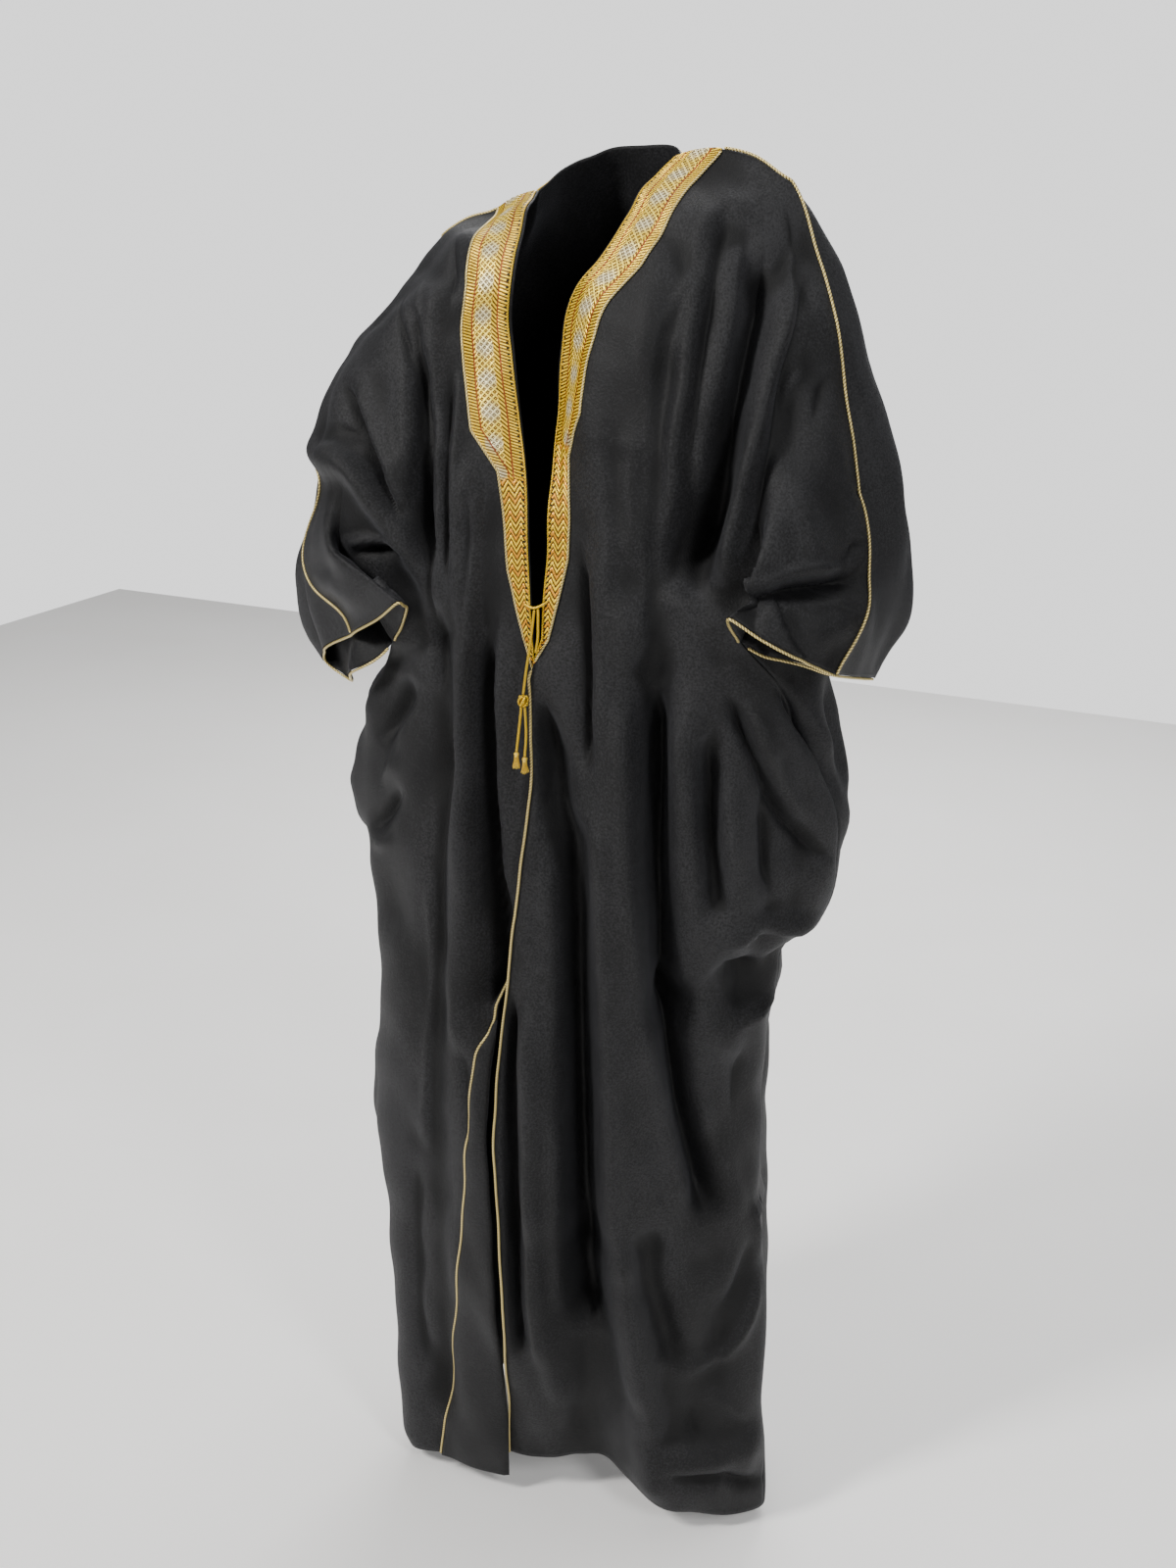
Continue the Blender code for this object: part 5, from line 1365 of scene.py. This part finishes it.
def armPiping(name, front, node):
    # Over the shoulder from the band's edge, then down the seam between front and back to the cuff
    back, side = grids["back"], front["turn"]
    middle = back["upper"].shape[1] // 2
    top, topOut = front["upper"][0, bandFine:], front["upperOut"][0, bandFine:]
    half = slice(middle, None) if side > 0 else slice(0, middle + 1)
    there, thereOut = back["upper"][0, half], back["upperOut"][0, half]
    near = np.argmin(np.linalg.norm(top[:, None] - there[None], axis=-1), axis=1)
    lift = trim["pipingSeat"] * cloth["wall"] + trim["pipingRadius"]
    start = top + unit(topOut + thereOut[near]) * lift
    outer = -1 if side > 0 else 0
    ridge = unit(front["upperOut"][1:, -1] + back["upperOut"][1:, outer])
    arm = 0.5 * (front["upper"][1:, -1] + back["upper"][1:, outer]) + ridge * lift
    path = np.concatenate([start[int(trim["pipingStart"] * cloth["frontDetail"][0]) :], arm])
    trimCord(name, settled(path, trim["pipingTurns"]), trim["pipingRadius"], node)


def cuffCord(name, front, node):
    # Just past the edge of the cuff, round the front half of the sleeve and back along the other
    back, side = grids["back"], front["turn"]
    detail, backDetail = cloth["frontDetail"][0], cloth["backDetail"]
    bodyFront = round(cloth["bodyShare"] * cloth["frontColumns"]) * detail
    bodyBack = round(cloth["bodyShare"] * cloth["backColumns"]) * backDetail[0]
    centre = cloth["backColumns"] * backDetail[0]
    half = slice(centre + bodyBack, None) if side > 0 else slice(0, centre - bodyBack + 1)
    border, inside, ways = (
        np.concatenate([front[part][row, bodyFront:], back[part][row, half][::-side][1:]])
        for part, row in (("upper", -1), ("upper", -1 - backDetail[1]), ("upperOut", -1)))
    ahead = unit(np.gradient(border, axis=0))
    beyond = border - inside
    beyond = unit(beyond - ahead * np.sum(beyond * ahead, axis=1, keepdims=True))
    reach = trim["cuffRadius"] + trim["cuffClear"]
    wayTurns, pathTurns = trim["cuffTurns"]
    path = border + unit(settled(beyond, wayTurns)) * reach + ways * 0.5 * cloth["wall"]
    ends = int(trim["cuffStart"] * detail) + 1
    trimCord(name, settled(path, pathTurns)[ends:-ends], trim["cuffRadius"], node)


turned = {
    "start": 0.655, "blend": 0.045, "least": 0.02, "rowStep": 0.5, "columns": 16, "wall": 0.9,
    "lift": 0.0009, "riseStart": 0.0006, "riseReach": 0.0030, "puff": 0.0028, "puffRound": 0.7,
    "shadeLevel": 0.42,
}


def turnShare(grid):
    # How far the front edge is turned back, row by row
    height = grid["lower"][:, 0, 2] + cloth["shoulderHeight"]
    return smooth((turned["start"] - height) / turned["blend"])


def stretched(share, rows):
    return np.interp(rows, np.arange(len(share)), share)


def edgeCord(name, grid, node, share):
    # Down the front edge, and down the fold where the edge is turned back
    rows = np.linspace(cloth["frontDetail"][2] * (1.0 + trim["edgeStart"]), len(grid["lower"]) - 1,
                       trim["edgePlaces"])
    turn = stretched(share, rows)
    base = gridAt(grid["lower"], rows, bandFine * turn)
    across = unit(gridAt(grid["lower"], rows, bandFine * turn + 0.5) - base)
    out = unit(gridAt(grid["lowerOut"], rows, bandFine * turn))
    reach = trim["edgeInset"] + (trim["edgeRadius"] + trim["clear"] - trim["edgeInset"]) * turn
    path = base + across * reach[:, None] + out * (cloth["wall"] + trim["clear"] + trim["edgeRadius"])
    trimCord(name, path, trim["edgeRadius"], node)


def turnedEdge(grid, share):
    # A strip that lies back over the front and rises a little in its middle
    rows = np.arange(np.flatnonzero(share > turned["least"])[0], len(share), turned["rowStep"])
    turn = stretched(share, rows)[:, None]
    place = np.linspace(0.0, 1.0, turned["columns"] + 1)
    columns = bandFine * turn * place
    base = gridAt(grid["lower"], rows[:, None], columns)
    out = unit(gridAt(grid["lowerOut"], rows[:, None], columns))
    run = lengths(base, 1)
    rise = smooth((run + turned["riseStart"]) / turned["riseReach"])
    loose = turned["puff"] * np.sin(np.pi * place) ** turned["puffRound"] * turn
    points = base + out * ((cloth["wall"] + turned["lift"]) * rise + loose)[..., None]
    bm = bmesh.new()
    uv = np.stack([run, lengths(base, 0)], axis=-1)
    # The turned strip gets an even, partial coat of the painted valley shade
    layGrid(bm, points, {"cloth": uv, "paintedShade": np.full_like(uv, turned["shadeLevel"])}, grid["turn"] > 0)
    piece = toObject("turnedEdgeRight", bm)
    thicken(piece, cloth["wall"] * turned["wall"], 1.0)
    dress(piece, worsted, "black_cloth", "turned_edge_right")


shares = {"Left": np.zeros(len(grids["frontLeft"]["lower"])), "Right": turnShare(grids["frontRight"])}
for word in ("Left", "Right"):
    front = grids["front" + word]
    armPiping("piping" + word, front, "piping_" + word.lower())
    cuffCord("cuffCord" + word, front, "cuff_cord_" + word.lower())
    edgeCord("edgeCord" + word, front, "edge_cord_" + word.lower(), shares[word])
turnedEdge(grids["frontRight"], shares["Right"])
print("trim ready")

# Tie loop, knot and tassels
loop = along(tieLoop, np.linspace(0.0, 1.0, tie["loopPlaces"]))
loopPiece, _ = twistedCord("tieLoop", loop, tie["radius"], tie["pitch"], tie["step"])
dress(loopPiece, brightCord, "gold_thread", "tie_loop")
knotPiece = makeKnot()
dress(knotPiece, brightCord, "gold_thread", "tie_knot")
tassels = {}
for number, (word, cordName) in enumerate((("Left", "tieEndLeft"), ("Right", "tieEndRight"))):
    tip = tieCords[cordName]["path"][-1] - np.array([0.0, 0.0, tassel["overlap"]])
    tassels[cordName] = makeTassel("tassel" + word, tip, tassel["seed"] + number)
    dress(tassels[cordName], looseGold, "gold_thread", "tassel_" + word.lower())

# Studio
studio = {
    "floor": 3.6, "floorParts": 8, "floorColours": ((0.80, 0.79, 0.775), (0.84, 0.83, 0.82)),
    "floorNoise": (3.0, 4.0), "floorLimits": (0.3, 0.7),
    "floorRoughnessAndGlow": {
        "Roughness": 0.75, "Emission Color": (1.0, 0.99, 0.98, 1.0), "Emission Strength": 0.18,
    },
    "backdrop": (0.95, 0.95, 0.95, 1.0), "shown": 1.6, "lit": 0.12,
}
lamps = {  # place, aim, size, power and colour
    "keyLight": ((-1.7, -2.5, 1.7), (0.0, 0.0, -0.5), (0.6, 0.9), 150.0, (1.0, 0.985, 0.96)),
    "fillLight": ((2.6, -2.0, 1.2), (0.0, 0.0, -0.6), (0.6, 1.4), 66.0, (1.0, 1.0, 1.0)),
    "topLight": ((0.2, 0.3, 2.8), (0.0, 0.0, -0.5), (3.4, 3.0), 45.0, (1.0, 1.0, 1.0)),
    "backLight": ((-0.8, 2.8, 1.2), (0.0, 0.0, -0.6), (1.6, 1.6), 80.0, (1.0, 1.0, 1.0)),
    "floorLight": ((0.0, 2.8, 3.4), (0.0, 2.8, -1.0), (7.0, 2.5), 150.0, (1.0, 1.0, 1.0)),
}


def studioFloor():
    bm = bmesh.new()
    bmesh.ops.create_grid(bm, x_segments=studio["floorParts"], y_segments=studio["floorParts"],
                          size=studio["floor"])
    bmesh.ops.translate(bm, verts=bm.verts, vec=(0.0, 0.0, floorHeight))
    piece = toObject("studioFloor", bm)
    finish, net, shader = tree("studioPaper")
    grain = noise(net, objectPoint(net), *studio["floorNoise"])
    colour = mixed(net, between(net, grain, *studio["floorLimits"]), *studio["floorColours"])
    net.links.new(colour, shader.inputs["Base Color"])
    # Painted light: the floor glows faintly, so it reads evenly pale across its whole size
    setValues(shader, studio["floorRoughnessAndGlow"])
    piece.data.materials.append(finish)


def softbox(name, place, aim, size, power, colour):
    data = bpy.data.lights.new(name, "AREA")
    data.shape, data.size, data.size_y = "RECTANGLE", *size
    data.energy, data.color = power, colour
    lamp = bpy.data.objects.new(name, data)
    bpy.context.scene.collection.objects.link(lamp)
    away = (Vector(aim) - Vector(place)).normalized()
    lamp.matrix_world = Matrix.Translation(place) @ away.to_track_quat("-Z", "Y").to_matrix().to_4x4()


def studioWorld():
    # A pale backdrop that lights the cloak less than it shows
    world = bpy.data.worlds.new("studioWorld")
    world.use_nodes = True
    net = world.node_tree
    shown, lit = net.nodes["Background"], add(net, "Background")
    setValues(shown, {"Color": studio["backdrop"], "Strength": studio["shown"]})
    setValues(lit, {"Color": studio["backdrop"], "Strength": studio["lit"]})
    mix = add(net, "MixShader")
    net.links.new(add(net, "LightPath").outputs["Is Camera Ray"], mix.inputs[0])
    net.links.new(lit.outputs[0], mix.inputs[1])
    net.links.new(shown.outputs[0], mix.inputs[2])
    net.links.new(mix.outputs[0], net.nodes["World Output"].inputs["Surface"])
    bpy.context.scene.world = world


studioFloor()
for name, facts in lamps.items():
    softbox(name, *facts)
studioWorld()
print("studio ready")
